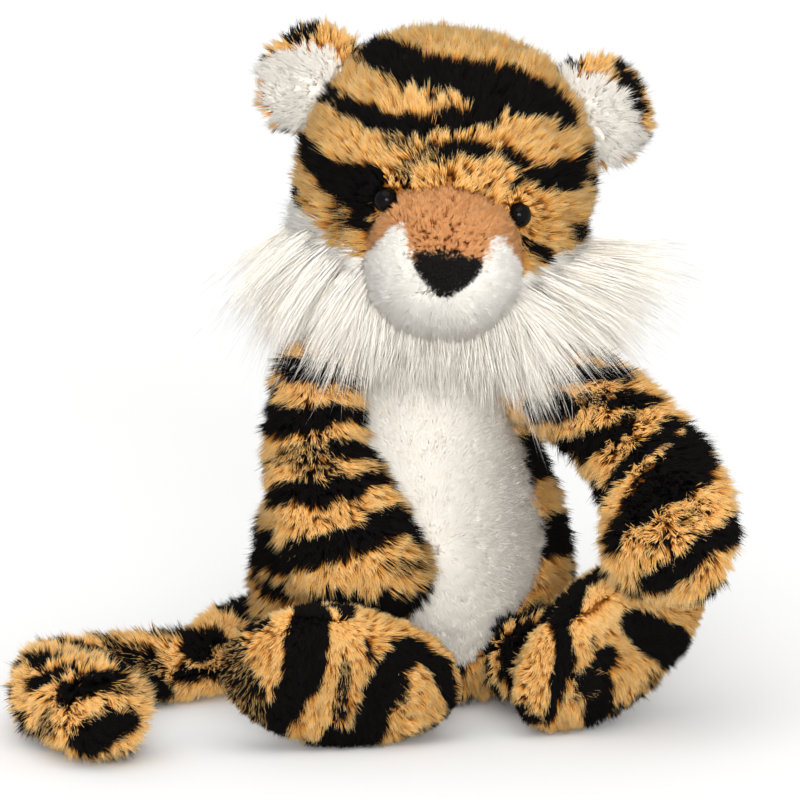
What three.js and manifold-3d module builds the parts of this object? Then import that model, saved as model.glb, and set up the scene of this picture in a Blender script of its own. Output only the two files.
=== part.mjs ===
// Seated plush tiger: fur-cloth body, head, arms, legs and tail, each stuffed and sewn to the body,
// with a white belly and muzzle, a long white ruff, a tan nose bridge and set-in eyes.
// Millimetres. Z is up, the tiger faces -Y, and its own left side is on +X.
// The origin is on the floor under the middle of the seat.
import * as THREE from "three";
import { mergeVertices } from "three/addons/utils/BufferGeometryUtils.js";
import Module from "manifold-3d";

const wasm = await Module();
wasm.setup();

// Clearances and cloth
const sew_gap = 0.3; // between pieces that touch
const neck_gap = 0.7; // between the layers of the neck, which turn on each other
const swing_gap = 0.9; // between a limb and the body that it swings past
const cut_overrun = 60; // how far a cutting solid runs past what it cuts
const fur_cloth = 6; // backing and pressed pile together
const floor_flat = 0.5; // depth of the flat that a form stands on
const finest_detail = 0.04; // anything smaller is smoothed away
const weld_distance = 1e-4;
const beyond = 240; // further than any piece reaches

// Body
const neck_height = 116; // floor to the centre of the neck dome
const neck_offset = 3; // of the neck from the middle of the seat
const neck_radius = 31;
const neck_wadding_thickness = 3;
const neck_wadding_spread = 50; // degrees from the crown to the edge of the wadding
const neck_opening_radius = 17;
const torso_turned = 14; // degrees, towards the tiger's left
const torso_half_width = 57.5;
const torso_half_depth = 44.5;
const root_opening_share = 0.45; // of a limb's root, for the hole that it is stuffed through
const seat_bulge = 6; // height of the rounded edge under the seat
const pellet_fill_height = 24; // top of the pellet bag above the floor
const torso_station_shares = [
  [0, 0.8, 0.84],
  [0.12, 0.94, 0.96],
  [0.28, 1, 1],
  [0.46, 0.96, 0.93],
  [0.63, 0.865, 0.81],
  [0.79, 0.73, 0.72],
  [0.92, 0.6, 0.69],
];

// Belly panel, seen from the front
const belly_half_width = 40;
const belly_bottom = 20; // above the floor
const belly_top = 124;
const belly_outline_shares = [
  [0.24, 0.01],
  [0.5, 0.1],
  [0.86, 0.24],
  [1, 0.4],
  [0.8, 0.74],
  [0.56, 1],
];

// Head
const head_half_width = 51;
const head_half_depth = 47;
const head_half_height = 52.5;
const head_rise = 69; // neck centre to head centre
const head_forward = 4;
const head_roundness_share = 2.25; // exponent of the outline: 2 is an ellipse
const head_tilt = 6.5; // degrees, towards the tiger's left
const head_turned = 2.5; // degrees, towards the tiger's left

// Muzzle, bridge and nose
const muzzle_half_width = 26;
const muzzle_half_depth = 26;
const muzzle_half_height = 26;
const muzzle_drop = 21.5; // below the head's centre
const muzzle_forward = 36; // ahead of the head's centre
const lobe_height_share = 0.42; // top of each white lobe, in half heights above the muzzle's centre
const lobe_place_share = 0.66;
const lobe_dip_share = 0.08;
const nose_half_width = 11.5;
const nose_height = 15;
const nose_thickness = 8;
const nose_drop = 25;
const nose_proud = 2.6; // how far the nose stands out of the muzzle
const nose_bed_depth = 2;
const nose_round = 2;

// Eyes
const eye_radius = 4.5;
const eye_shank_radius = 1.6;
const eye_shank_length = 10;
const eye_washer_radius = 5.5;
const eye_washer_thickness = 1.4;
const eye_half_spacing = 24;
const eye_drop = 3.6; // below the head's centre
const eye_depth = 1.4; // how far the eye's back lies under the pile
const washer_gap = 1.9; // between the washer and the inside of the head's skin

// Ears
const ear_half_width = 20.5;
const ear_half_height = 17;
const ear_rise = 8.5; // hinge line to the middle of the ear
const ear_thickness = 9;
const ear_place_angle = 60; // degrees from upright, about the head's centre
const ear_lean = 54; // degrees from upright
const ear_lining_share = 0.8;
const ear_hollow = 2.4;

// Ruff
const cheek_ruff_length = 27;
const cheek_ruff_half_height = 18.5;
const cheek_ruff_half_thickness = 15;
const ruff_root_share = 0.8; // across the head, in half widths
const ruff_drop = 24.5; // below the head's centre
const bib_root_share = 0.75;
const bib_forward = 33;
const bib_length = 30;
const bib_half_width = 27;
const bib_half_thickness = 4.5;

// Arms
const arm_length = 90;
const arm_root_radius = 15;
const arm_half_width = 22;
const arm_half_thickness = 15;
const arm_section_lean = 0.3; // how far the flat of the arm leans, as a slope
const shoulder_height = 115;
const shoulder_half_spacing = 37.6;
const shoulder_forward = 11.3;

// Legs
const leg_length = 45.5; // hip to the rim of the sole
const leg_radius = 13.5;
const hip_height = 20;
const hip_half_spacing = 26.8;
const hip_forward = 32;
const foot_half_length = 42;
const foot_half_width = 24;
const foot_depth = 10; // rim of the sole back to the instep
const foot_offset = 17.2; // from the leg's axis out to the middle of the sole
const foot_lift = 2; // from the leg's axis up to the middle of the sole
const sole_bulge = 7;
const leg_spread_degrees = { left: 29, right: -12.4 }; // outward from straight ahead
const foot_raised_degrees = { left: 30, right: 9 }; // how far each toe is rolled up

// Tail
const tail_length = 225;
const tail_radius = 10.5;
const tail_root_height = 15;
const tail_root_back = 42;

// Routes of the limbs from where they are sewn on, in shares of the limb's length
const arm_route_shares = {
  left: [
    [0, 0, 0],
    [0.27, -0.18, -0.1],
    [0.45, -0.38, -0.26],
    [0.54, -0.62, -0.41],
    [0.51, -0.86, -0.54],
  ],
  right: [
    [0, 0, 0],
    [0, -0.16, -0.27],
    [0.08, -0.31, -0.48],
    [0.165, -0.41, -0.64],
    [0.215, -0.4, -0.715],
  ],
};
const arm_girth_shares = [
  [0.3, 0.76, 1.12],
  [0.6, 0.93, 1.1],
  [0.85, 1, 1],
  [1, 0.94, 0.94],
];
const tail_route_shares = [
  [0, 0, 0],
  [-0.116, 0.053, -0.01],
  [-0.213, -0.02, -0.015],
  [-0.267, -0.124, -0.015],
  [-0.284, -0.235, -0.015],
  [-0.373, -0.293, -0.012],
  [-0.462, -0.329, -0.008],
  [-0.513, -0.409, -0.004],
  [-0.505, -0.511, 0.002],
  [-0.43, -0.622, 0.008],
];
const tail_girth_shares = [
  [0, 1],
  [0.3, 1],
  [0.72, 1.12],
  [1, 1.5],
];

// Routes and girths of the ruff, in shares of its length and half sizes
const ruff_route_shares = [
  [-0.15, 0, 0],
  [0.45, 0.03, 0.22],
  [1, 0.22, 0.62],
];
const bib_route_shares = [
  [0, 0],
  [-0.1, 0.5],
  [-0.02, 1],
];
const ruff_girth_shares = [
  [0, 0.95, 1],
  [0.4, 1, 0.85],
  [0.8, 0.72, 0.6],
  [1, 0.45, 0.35],
];

// How far each limb swings, in degrees, for the clearance that its root is given
const arm_raise = 50;
const ear_fold = 25;
const clearance_step = 12.5;

// How many flats each round form is made of: round it, then along it
const facets = {
  torso: [20, 8],
  torso_inside: [14, 6],
  head: [22, 12],
  head_inside: [16, 8],
  muzzle: [18, 12],
  ear: [18, 8],
  arm: [14, 7],
  arm_inside: [10, 5],
  tail: [12, 14],
  tail_inside: [8, 10],
  ruff: [12, 4],
  foot: [22, 10],
  foot_inside: [16, 10],
  leg: 14,
  leg_inside: 10,
  socket: 12,
  dish: 20,
  neck: 16,
  small: 14,
  opening: 10,
  corner: 4,
};

const colours = {
  tiger: 0xc98a3c,
  dark: 0x1c1816,
  white: 0xeeeae2,
  tan: 0xa96f42,
  black: 0x14110f,
  wadding: 0xf2f0ea,
  pellets: 0xd8d4c8,
};

function cloth(colour) {
  return new THREE.MeshStandardMaterial({ color: colour, roughness: 0.95, metalness: 0 });
}

function gloss(colour) {
  return new THREE.MeshStandardMaterial({ color: colour, roughness: 0.12, metalness: 0 });
}

// A closed geometry as a solid, with its faces turned out
function solid(geometry) {
  const bare = geometry.clone();
  bare.deleteAttribute("normal");
  bare.deleteAttribute("uv");
  const merged = mergeVertices(bare, weld_distance);
  const source = merged.index.array;
  const kept = [];
  for (let i = 0; i < source.length; i += 3) {
    const [a, b, c] = [source[i], source[i + 1], source[i + 2]];
    if (a !== b && b !== c && c !== a) kept.push(a, b, c);
  }
  const vertProperties = merged.attributes.position.array;
  const made = fromTriangles(vertProperties, kept);
  if (made.volume() > 0) return made;
  for (let i = 0; i < kept.length; i += 3) [kept[i + 1], kept[i + 2]] = [kept[i + 2], kept[i + 1]];
  return fromTriangles(vertProperties, kept);
}

function fromTriangles(vertProperties, triangles) {
  const triVerts = new Uint32Array(triangles);
  return new wasm.Manifold(new wasm.Mesh({ numProp: 3, vertProperties, triVerts }));
}

// The largest body of a solid, without the slivers that a cut leaves
function main(cut) {
  const bodies = cut.decompose();
  bodies.sort((a, b) => b.volume() - a.volume());
  return bodies[0];
}

function piece(name, made, material) {
  const mesh = main(made).simplify(finest_detail).getMesh();
  const geometry = new THREE.BufferGeometry();
  const stride = mesh.numProp;
  const places = new Float32Array(mesh.numVert * 3);
  for (let i = 0; i < mesh.numVert; i++) {
    places.set(mesh.vertProperties.subarray(i * stride, i * stride + 3), i * 3);
  }
  geometry.setAttribute("position", new THREE.BufferAttribute(places, 3));
  geometry.setIndex(new THREE.BufferAttribute(mesh.triVerts, 1));
  geometry.computeVertexNormals();
  const result = new THREE.Mesh(geometry, material);
  result.name = name;
  return result;
}

function ball(radius, centre, sides) {
  return new THREE.SphereGeometry(radius, sides, sides / 2).translate(centre.x, centre.y, centre.z);
}

// A ball whose flat faces all lie outside a radius
function socketBall(radius, centre, sides) {
  return ball(radius / Math.cos(Math.PI / sides) ** 2, centre, sides);
}

function block(low, high) {
  const size = new THREE.Vector3().subVectors(high, low);
  const middle = new THREE.Vector3().addVectors(low, high).multiplyScalar(1 / 2);
  return new THREE.BoxGeometry(size.x, size.y, size.z).translate(middle.x, middle.y, middle.z);
}

// Everything below a height, as seen from a limb's own origin
function below(height) {
  return block(
    new THREE.Vector3(-beyond, -beyond, height - beyond),
    new THREE.Vector3(beyond, beyond, height),
  );
}

// The rings of a stuffed form along its length: [place, half width, half thickness],
// rounded at both ends by caps, and drawn in all round by inset
function stuffedRings(length, girth, caps, rings, inset) {
  const cap_rings = 3;
  const stations = girth.map(([share, width, thick]) => new THREE.Vector3(share, width, thick));
  const curve = new THREE.CatmullRomCurve3(stations);
  const outer = [];
  const first = curve.getPoint(0);
  const last = curve.getPoint(1);
  for (let i = 0; i < cap_rings; i++) {
    const angle = (Math.PI / 2) * (i / cap_rings);
    outer.push([-caps[0] * Math.cos(angle), first.y * Math.sin(angle), first.z * Math.sin(angle)]);
  }
  for (let i = 0; i <= rings; i++) {
    const at = curve.getPoint(i / rings);
    outer.push([at.x * length, at.y, at.z]);
  }
  for (let i = cap_rings - 1; i >= 0; i--) {
    const angle = (Math.PI / 2) * (i / cap_rings);
    const along = length + caps[1] * Math.cos(angle);
    outer.push([along, last.y * Math.sin(angle), last.z * Math.sin(angle)]);
  }
  if (inset === 0) return outer;
  const count = outer.length - 1;
  return outer.map(([along, width, thick], i) => {
    const before = outer[Math.max(i - 1, 0)];
    const after = outer[Math.min(i + 1, count)];
    const run = after[0] - before[0];
    const rise = i === 0 || i === count ? 0 : after[1] - before[1];
    const turn = i === 0 ? -Math.PI / 2 : i === count ? Math.PI / 2 : -Math.atan2(rise, run);
    const drawn_in = i === 0 || i === count ? 0 : inset * Math.cos(turn);
    return [
      along - inset * Math.sin(turn),
      Math.max(width - drawn_in, 0),
      Math.max(thick - drawn_in, 0),
    ];
  });
}

// The centre and section directions of each ring, carried along the route without twisting
function carriedFrames(path, length, profile, up) {
  const across = new THREE.Vector3().crossVectors(up, path.getTangentAt(0));
  return profile.map(([along]) => {
    const share = THREE.MathUtils.clamp(along / length, 0, 1);
    const heading = path.getTangentAt(share);
    const centre = path.getPointAt(share).addScaledVector(heading, along - share * length);
    across.addScaledVector(heading, -across.dot(heading)).normalize();
    const through = new THREE.Vector3().crossVectors(heading, across);
    return { centre, across: across.clone(), through };
  });
}

// A stuffed tube, swelling and tapering along a route; up says which way its thickness lies
function stuffed({ route, girth, caps, up, flats, inset = 0 }) {
  const [sides, rings] = flats;
  const path = new THREE.CatmullRomCurve3(route, false, "centripetal");
  const length = path.getLength();
  const profile = stuffedRings(length, girth, caps, rings, inset);
  const steps = profile.map((ring, i) => {
    const radius = i === 0 || i === profile.length - 1 ? 0 : 1;
    return new THREE.Vector2(radius, i);
  });
  const form = new THREE.LatheGeometry(steps, sides);
  const frames = carriedFrames(path, length, profile, up);
  const place = form.attributes.position;
  const vertex = new THREE.Vector3();
  for (let i = 0; i < place.count; i++) {
    vertex.fromBufferAttribute(place, i);
    const ring = Math.round(vertex.y);
    const [, width, thick] = profile[ring];
    const { centre, across, through } = frames[ring];
    const point = centre.clone();
    point.addScaledVector(across, vertex.x * width);
    point.addScaledVector(through, vertex.z * thick);
    place.setXYZ(i, point.x, point.y, point.z);
  }
  return form;
}

// Body
const body_turn = THREE.MathUtils.degToRad(torso_turned);

// A place on the body, given as if the body faced straight ahead
function onBody(x, y, z) {
  return new THREE.Vector3(x, y, z).applyAxisAngle(new THREE.Vector3(0, 0, 1), body_turn);
}

const neck_place = onBody(neck_offset, 0, neck_height);
const tail_place = onBody(0, tail_root_back, tail_root_height);

function shoulder(side) {
  return onBody(side * shoulder_half_spacing, -shoulder_forward, shoulder_height);
}

function hip(side) {
  return onBody(side * hip_half_spacing, -hip_forward, hip_height);
}

function torsoForm(inset = 0, flats = facets.torso) {
  const girth = torso_station_shares.map(([share, width, depth]) => [
    share,
    width * torso_half_width,
    depth * torso_half_depth,
  ]);
  girth.push([1, neck_radius, neck_radius]);
  const start = new THREE.Vector3(0, 0, seat_bulge - floor_flat);
  const middle = new THREE.Vector3(0, 0, neck_height / 2);
  const top = new THREE.Vector3(neck_offset, 0, neck_height);
  const form = stuffed({
    route: [start, middle, top],
    girth,
    caps: [seat_bulge, neck_radius],
    up: new THREE.Vector3(0, -1, 0),
    flats,
    inset,
  });
  return form.rotateZ(body_turn);
}

// The room that the limbs' roots take up in the body
function sockets() {
  const arm = arm_root_radius + sew_gap;
  const tail = tail_radius + sew_gap;
  const cuts = [
    solid(socketBall(arm, shoulder(1), facets.socket)),
    solid(socketBall(arm, shoulder(-1), facets.socket)),
    solid(socketBall(tail, tail_place, facets.socket)),
  ];
  const leg_room = sew_gap + leg_radius * (1 / Math.cos(Math.PI / facets.leg) - 1);
  for (const side of [1, -1]) {
    cuts.push(solid(legTube(-leg_room, facets.leg).applyMatrix4(legPlacing(side))));
  }
  return cuts;
}

function without(from, cutters) {
  return cutters.reduce((left, cutter) => left.subtract(cutter), from);
}

// The outline of the belly panel carried straight through the front of the body
function bellyPrism(grow) {
  const height = belly_top - belly_bottom;
  const right = belly_outline_shares.map(([across, up]) => {
    return new THREE.Vector2(across * belly_half_width + grow, belly_bottom + up * height);
  });
  const left = right.map((point) => new THREE.Vector2(-point.x, point.y)).reverse();
  const outline = new THREE.Shape();
  outline.moveTo(0, belly_bottom - grow);
  outline.splineThru(right);
  outline.lineTo(left[0].x, left[0].y);
  outline.splineThru(left.slice(1));
  outline.lineTo(0, belly_bottom - grow);
  const panel = new THREE.ExtrudeGeometry(outline, {
    depth: torso_half_depth + cut_overrun,
    bevelEnabled: false,
    curveSegments: 2,
  });
  return solid(panel.rotateX(Math.PI / 2).rotateZ(body_turn));
}

function neckOpening() {
  const radius = neck_opening_radius;
  const opening = new THREE.CylinderGeometry(radius, radius, 2 * neck_radius, facets.small);
  opening.rotateX(Math.PI / 2).translate(neck_place.x, neck_place.y, neck_height + neck_radius);
  return solid(opening);
}

function bodyPieces() {
  const cuts = sockets();
  const outer = solid(torsoForm()).subtract(solid(below(0)));
  const inner = solid(torsoForm(fur_cloth, facets.torso_inside));
  const shell = without(outer.subtract(inner).subtract(neckOpening()), cuts);
  const stuffing = without(solid(torsoForm(fur_cloth + sew_gap, facets.torso_inside)), cuts);
  const pellets = solid(below(pellet_fill_height));
  const under_wadding = solid(below(pellet_fill_height + sew_gap));
  return [
    piece("torso_skin", shell.subtract(bellyPrism(sew_gap)), cloth(colours.tiger)),
    piece("belly_panel", shell.intersect(bellyPrism(0)), cloth(colours.white)),
    piece("torso_stuffing", stuffing.subtract(under_wadding), cloth(colours.wadding)),
    piece("seat_pellet_bag", stuffing.intersect(pellets), cloth(colours.pellets)),
  ];
}

// A cap of wadding between the dome of the body and the head, which turns and nods on it
function neckWadding() {
  const inner = neck_radius + neck_gap;
  const outer = inner + neck_wadding_thickness;
  const spread = neck_wadding_spread * THREE.MathUtils.DEG2RAD;
  const steps = facets.corner;
  const outline = [];
  for (let i = 0; i <= steps; i++) {
    const angle = (spread * i) / steps;
    outline.push(new THREE.Vector2(inner * Math.sin(angle), inner * Math.cos(angle)));
  }
  for (let i = steps; i >= 0; i--) {
    const angle = (spread * i) / steps;
    outline.push(new THREE.Vector2(outer * Math.sin(angle), outer * Math.cos(angle)));
  }
  const cap = new THREE.LatheGeometry(outline, facets.neck).rotateX(Math.PI / 2);
  return piece("neck_wadding", solid(cap), cloth(colours.wadding));
}

// Head, about the centre of the neck
const head_centre = new THREE.Vector3(0, -head_forward, head_rise);
const head_seat_radius = neck_radius + neck_wadding_thickness + 2 * neck_gap;

// How far out the head's outline reaches at a height given in half heights
function headReach(up) {
  return (1 - Math.abs(up) ** head_roundness_share) ** (1 / head_roundness_share);
}

function headForm(inset = 0, [sides, rings] = facets.head) {
  const profile = [];
  for (let i = 0; i <= rings; i++) {
    const up = -Math.cos(Math.PI * (i / rings));
    const around = i === 0 || i === rings ? 0 : headReach(up);
    profile.push(new THREE.Vector2(around, up));
  }
  const form = new THREE.LatheGeometry(profile, sides).rotateX(Math.PI / 2);
  form.scale(head_half_width - inset, head_half_depth - inset, head_half_height - inset);
  return form.translate(head_centre.x, head_centre.y, head_centre.z);
}

function neckDish() {
  return solid(socketBall(head_seat_radius, new THREE.Vector3(), facets.dish));
}

// The point on the front of the head at a place across and up from its centre
function onHead(across, up) {
  const around = headReach(up / head_half_height);
  const forward = Math.sqrt(around ** 2 - (across / head_half_width) ** 2);
  return new THREE.Vector3(across, -forward * head_half_depth, up).add(head_centre);
}

function muzzleForm(grow = 0) {
  const form = new THREE.SphereGeometry(1, ...facets.muzzle);
  form.scale(muzzle_half_width + grow, muzzle_half_depth + grow, muzzle_half_height + grow);
  return form.translate(0, head_centre.y - muzzle_forward, head_centre.z - muzzle_drop);
}

// The white part of the muzzle seen from the front: two lobes with a dip between them
function muzzlePrism(grow) {
  const middle = head_centre.z - muzzle_drop;
  const lobe = middle + lobe_height_share * muzzle_half_height + grow;
  const dip = middle + lobe_dip_share * muzzle_half_height + grow;
  const across = lobe_place_share * muzzle_half_width;
  const side = muzzle_half_width + cut_overrun;
  const foot = middle - cut_overrun;
  const outline = new THREE.Shape();
  outline.moveTo(-side, foot);
  outline.lineTo(side, foot);
  outline.lineTo(side, dip);
  outline.quadraticCurveTo(muzzle_half_width, lobe, across, lobe);
  outline.quadraticCurveTo(nose_half_width, lobe, nose_half_width / 2, dip);
  outline.lineTo(-nose_half_width / 2, dip);
  outline.quadraticCurveTo(-nose_half_width, lobe, -across, lobe);
  outline.quadraticCurveTo(-muzzle_half_width, lobe, -side, dip);
  outline.lineTo(-side, foot);
  const front = new THREE.ExtrudeGeometry(outline, {
    depth: head_half_depth + cut_overrun,
    bevelEnabled: false,
    curveSegments: facets.corner,
  });
  return solid(front.rotateX(Math.PI / 2));
}

// A rounded triangle, wide at the top
function noseForm(grow) {
  const top = head_centre.z - nose_drop + nose_height / 2 - nose_round;
  const middle = top - nose_height / 2 + nose_round;
  const bottom = top - nose_height + 2 * nose_round;
  const wide = nose_half_width - nose_round;
  const outline = new THREE.Shape();
  outline.moveTo(-wide, top);
  outline.quadraticCurveTo(0, top + nose_round, wide, top);
  outline.quadraticCurveTo(wide, middle, 0, bottom);
  outline.quadraticCurveTo(-wide, middle, -wide, top);
  const form = new THREE.ExtrudeGeometry(outline, {
    depth: nose_thickness,
    bevelSize: nose_round + grow,
    bevelThickness: nose_round,
    bevelSegments: 2,
    curveSegments: facets.corner,
  });
  const front = head_centre.y - muzzle_forward - muzzle_half_depth - nose_proud;
  return solid(form.rotateX(Math.PI / 2).translate(0, front + nose_thickness + nose_round, 0));
}

function facePieces() {
  const skull = solid(headForm(-sew_gap));
  const nose_bed = solid(muzzleForm(sew_gap - nose_bed_depth));
  const nose = noseForm(0).subtract(nose_bed);
  const ahead = solid(muzzleForm()).subtract(skull);
  const pitted = ahead.subtract(noseForm(sew_gap).subtract(solid(muzzleForm(-nose_bed_depth))));
  const white = pitted.intersect(muzzlePrism(0)).subtract(neckDish());
  const tan = pitted.subtract(muzzlePrism(sew_gap));
  return [
    piece("muzzle", white, cloth(colours.white)),
    piece("nose_bridge", tan, cloth(colours.tan)),
    piece("nose", nose, cloth(colours.black)),
  ];
}

// An eye looks along its own +Z, with the back of its dome at the origin and a shank behind
function eyeForm(grow) {
  const outline = [
    new THREE.Vector2(0, -eye_shank_length - grow),
    new THREE.Vector2(eye_shank_radius + grow, -eye_shank_length - grow),
    new THREE.Vector2(eye_shank_radius + grow, -grow),
    new THREE.Vector2(eye_radius + grow, -grow),
  ];
  const steps = facets.corner;
  for (let i = 1; i <= steps; i++) {
    const angle = (Math.PI / 2) * (i / steps);
    const around = i === steps ? 0 : (eye_radius + grow) * Math.cos(angle);
    outline.push(new THREE.Vector2(around, (eye_radius + grow) * Math.sin(angle)));
  }
  return new THREE.LatheGeometry(outline, facets.small).rotateX(Math.PI / 2);
}

function rod(radius, low, high) {
  const form = new THREE.CylinderGeometry(radius, radius, high - low, facets.small);
  return form.rotateX(Math.PI / 2).translate(0, 0, (low + high) / 2);
}

// Turns a form that looks along +Z to look out of the head at the eye on one side
function atEye(form, side) {
  const seat = onHead(side * eye_half_spacing, -eye_drop);
  const out = new THREE.Vector3().subVectors(seat, head_centre);
  const half_sizes = new THREE.Vector3(head_half_width, head_half_depth, head_half_height);
  out.divide(half_sizes).divide(half_sizes).normalize();
  const turn = new THREE.Quaternion().setFromUnitVectors(new THREE.Vector3(0, 0, 1), out);
  form.applyQuaternion(turn);
  seat.addScaledVector(out, -eye_depth);
  return solid(form.translate(seat.x, seat.y, seat.z));
}

const washer_top = -(fur_cloth - eye_depth + washer_gap);

function eyePieces(side, name) {
  const disc = atEye(rod(eye_washer_radius, washer_top - eye_washer_thickness, washer_top), side);
  const bore = atEye(rod(eye_shank_radius + sew_gap, -2 * eye_shank_length, 0), side);
  return [
    piece("eye_" + name, atEye(eyeForm(0), side), gloss(colours.black)),
    piece("eye_washer_" + name, disc.subtract(bore), gloss(colours.pellets)),
  ];
}

function headPieces() {
  const sides = [1, -1];
  const dish = neckDish();
  const inner = solid(headForm(fur_cloth, facets.head_inside));
  const eyes = sides.map((side) => atEye(eyeForm(sew_gap), side));
  const skin = without(solid(headForm()).subtract(inner).subtract(dish), eyes);
  const pocket_radius = eye_washer_radius + sew_gap;
  const pockets = sides.map((side) => atEye(rod(pocket_radius, -2 * eye_shank_length, 0), side));
  const filling = solid(headForm(fur_cloth + sew_gap, facets.head_inside)).subtract(dish);
  return [
    piece("head_skin", skin, cloth(colours.tiger)),
    piece("head_stuffing", without(filling, pockets), cloth(colours.wadding)),
    ...facePieces(),
    ...eyePieces(1, "left"),
    ...eyePieces(-1, "right"),
  ];
}

// Ears stand on the head, each made in its own frame with its hinge line along X
function earPlace(side) {
  const angle = THREE.MathUtils.degToRad(ear_place_angle);
  const out = new THREE.Vector3(side * Math.sin(angle), 0, Math.cos(angle));
  const reach = Math.hypot(out.x / head_half_width, out.z / head_half_height);
  return out.multiplyScalar(1 / reach).add(head_centre);
}

function headBesideEar(side, fold) {
  const place = earPlace(side);
  const form = headForm(-sew_gap).translate(-place.x, -place.y, -place.z);
  form.rotateY(-side * THREE.MathUtils.degToRad(ear_lean));
  return solid(form.rotateX(THREE.MathUtils.degToRad(fold)));
}

function earDisc(share, thickness, forward) {
  const form = new THREE.SphereGeometry(1, ...facets.ear);
  form.rotateX(Math.PI / 2);
  form.scale(share * ear_half_width, thickness / 2, share * ear_half_height);
  return form.translate(0, -forward, ear_rise);
}

function earPieces(side, name) {
  const heads = [];
  for (let fold = -ear_fold; fold <= ear_fold; fold += clearance_step) {
    heads.push(headBesideEar(side, fold));
  }
  const front = ear_thickness / 2;
  const lining_share = ear_lining_share - sew_gap / ear_half_height;
  const shell = solid(earDisc(1, ear_thickness, 0));
  const hollow = solid(earDisc(ear_lining_share, ear_thickness, front));
  const lining = solid(earDisc(lining_share, ear_thickness - 2 * sew_gap, front));
  const dent = solid(earDisc(ear_lining_share, ear_thickness, front + ear_hollow));
  const skin = without(shell.subtract(hollow), heads);
  const cover = without(lining.subtract(dent), heads);
  return [
    piece("ear_skin_" + name, skin, cloth(colours.tiger)),
    piece("ear_lining_" + name, cover, cloth(colours.white)),
  ];
}

function ear(side, name) {
  const made = group(earPlace(side), earPieces(side, name));
  made.rotation.y = side * THREE.MathUtils.degToRad(ear_lean);
  return made;
}

// The ruff: a fan of long hair on each cheek and a bib of it under the chin
function cheekRuff(side, name) {
  const length = cheek_ruff_length;
  const root = onHead(side * ruff_root_share * head_half_width, -ruff_drop);
  const route = ruff_route_shares.map(([out, back, down]) => {
    return new THREE.Vector3(side * out, back, -down).multiplyScalar(length).add(root);
  });
  const form = stuffed({
    route,
    girth: ruff_girth_shares.map(([share, wide, thick]) => {
      return [share, wide * cheek_ruff_half_height, thick * cheek_ruff_half_thickness];
    }),
    caps: [cheek_ruff_half_thickness, cheek_ruff_half_thickness / 2],
    up: new THREE.Vector3(0, -1, 0),
    flats: facets.ruff,
  });
  const cuts = [solid(headForm(-sew_gap)), solid(muzzleForm(sew_gap)), neckDish()];
  return piece("cheek_ruff_" + name, without(solid(form), cuts), cloth(colours.white));
}

function chinRuff() {
  const top = head_centre.z - muzzle_drop - bib_root_share * muzzle_half_height;
  const root = new THREE.Vector3(0, head_centre.y - bib_forward, top);
  const route = bib_route_shares.map(([back, down]) => {
    return new THREE.Vector3(0, back, -down).multiplyScalar(bib_length).add(root);
  });
  const form = stuffed({
    route,
    girth: ruff_girth_shares.map(([share, wide, thick]) => {
      return [share, wide * bib_half_width, thick * bib_half_thickness];
    }),
    caps: [bib_half_thickness, bib_half_thickness],
    up: new THREE.Vector3(0, -1, 0),
    flats: facets.ruff,
  });
  const cuts = [solid(headForm(-sew_gap)), solid(muzzleForm(sew_gap)), neckDish()];
  return piece("chin_ruff", without(solid(form), cuts), cloth(colours.white));
}

// The body as a limb at a place meets it once the limb has turned by an angle
function bodyFrom(place, axis, angle, room) {
  const form = torsoForm(-room).translate(-place.x, -place.y, -place.z);
  const turn = new THREE.Quaternion().setFromAxisAngle(axis, THREE.MathUtils.degToRad(-angle));
  return solid(form.applyQuaternion(turn));
}

// The body at each step of a swinging arm
function bodySweep(place, axis, room) {
  const bodies = [];
  for (let angle = 0; angle <= arm_raise; angle += clearance_step) {
    bodies.push(bodyFrom(place, axis, angle, room));
  }
  return bodies;
}

// The hole that a limb's skin is stuffed through, behind its root
function rootOpening(radius, heading) {
  const width = root_opening_share * radius;
  const form = new THREE.CylinderGeometry(width, width, 2 * radius, facets.opening);
  form.translate(0, -radius, 0);
  const turn = new THREE.Quaternion().setFromUnitVectors(new THREE.Vector3(0, 1, 0), heading);
  return solid(form.applyQuaternion(turn));
}

function armPieces(side, name) {
  const place = shoulder(side);
  const route = arm_route_shares[name].map(([x, y, z]) => {
    return new THREE.Vector3(x, y, z).multiplyScalar(arm_length);
  });
  const girth = arm_girth_shares.map(([share, width, thick]) => {
    return [share, width * arm_half_width, thick * arm_half_thickness];
  });
  girth.unshift([0, arm_root_radius, arm_root_radius]);
  const shape = {
    route,
    girth,
    caps: [arm_root_radius, arm_half_thickness],
    up: new THREE.Vector3(0, -arm_section_lean, 1),
    flats: facets.arm,
  };
  const axis = new THREE.Vector3(0, -side, 0);
  const root = solid(ball(arm_root_radius, new THREE.Vector3(), facets.arm[0]));
  const whole = solid(stuffed(shape));
  const outer = without(whole, bodySweep(place, axis, swing_gap)).add(root.intersect(whole));
  const heading = new THREE.Vector3().subVectors(route[1], route[0]).normalize();
  const inside = { ...shape, inset: fur_cloth, flats: facets.arm_inside };
  const filling = { ...inside, inset: fur_cloth + sew_gap };
  const hollow_room = swing_gap + fur_cloth;
  const hollow = without(solid(stuffed(inside)), bodySweep(place, axis, hollow_room));
  const skin = outer.subtract(hollow).subtract(rootOpening(arm_root_radius, heading));
  const filled = without(solid(stuffed(filling)), bodySweep(place, axis, hollow_room + sew_gap));
  return group(place, [
    piece("arm_skin_" + name, skin, cloth(colours.tiger)),
    piece("arm_stuffing_" + name, filled, cloth(colours.wadding)),
  ]);
}

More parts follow.
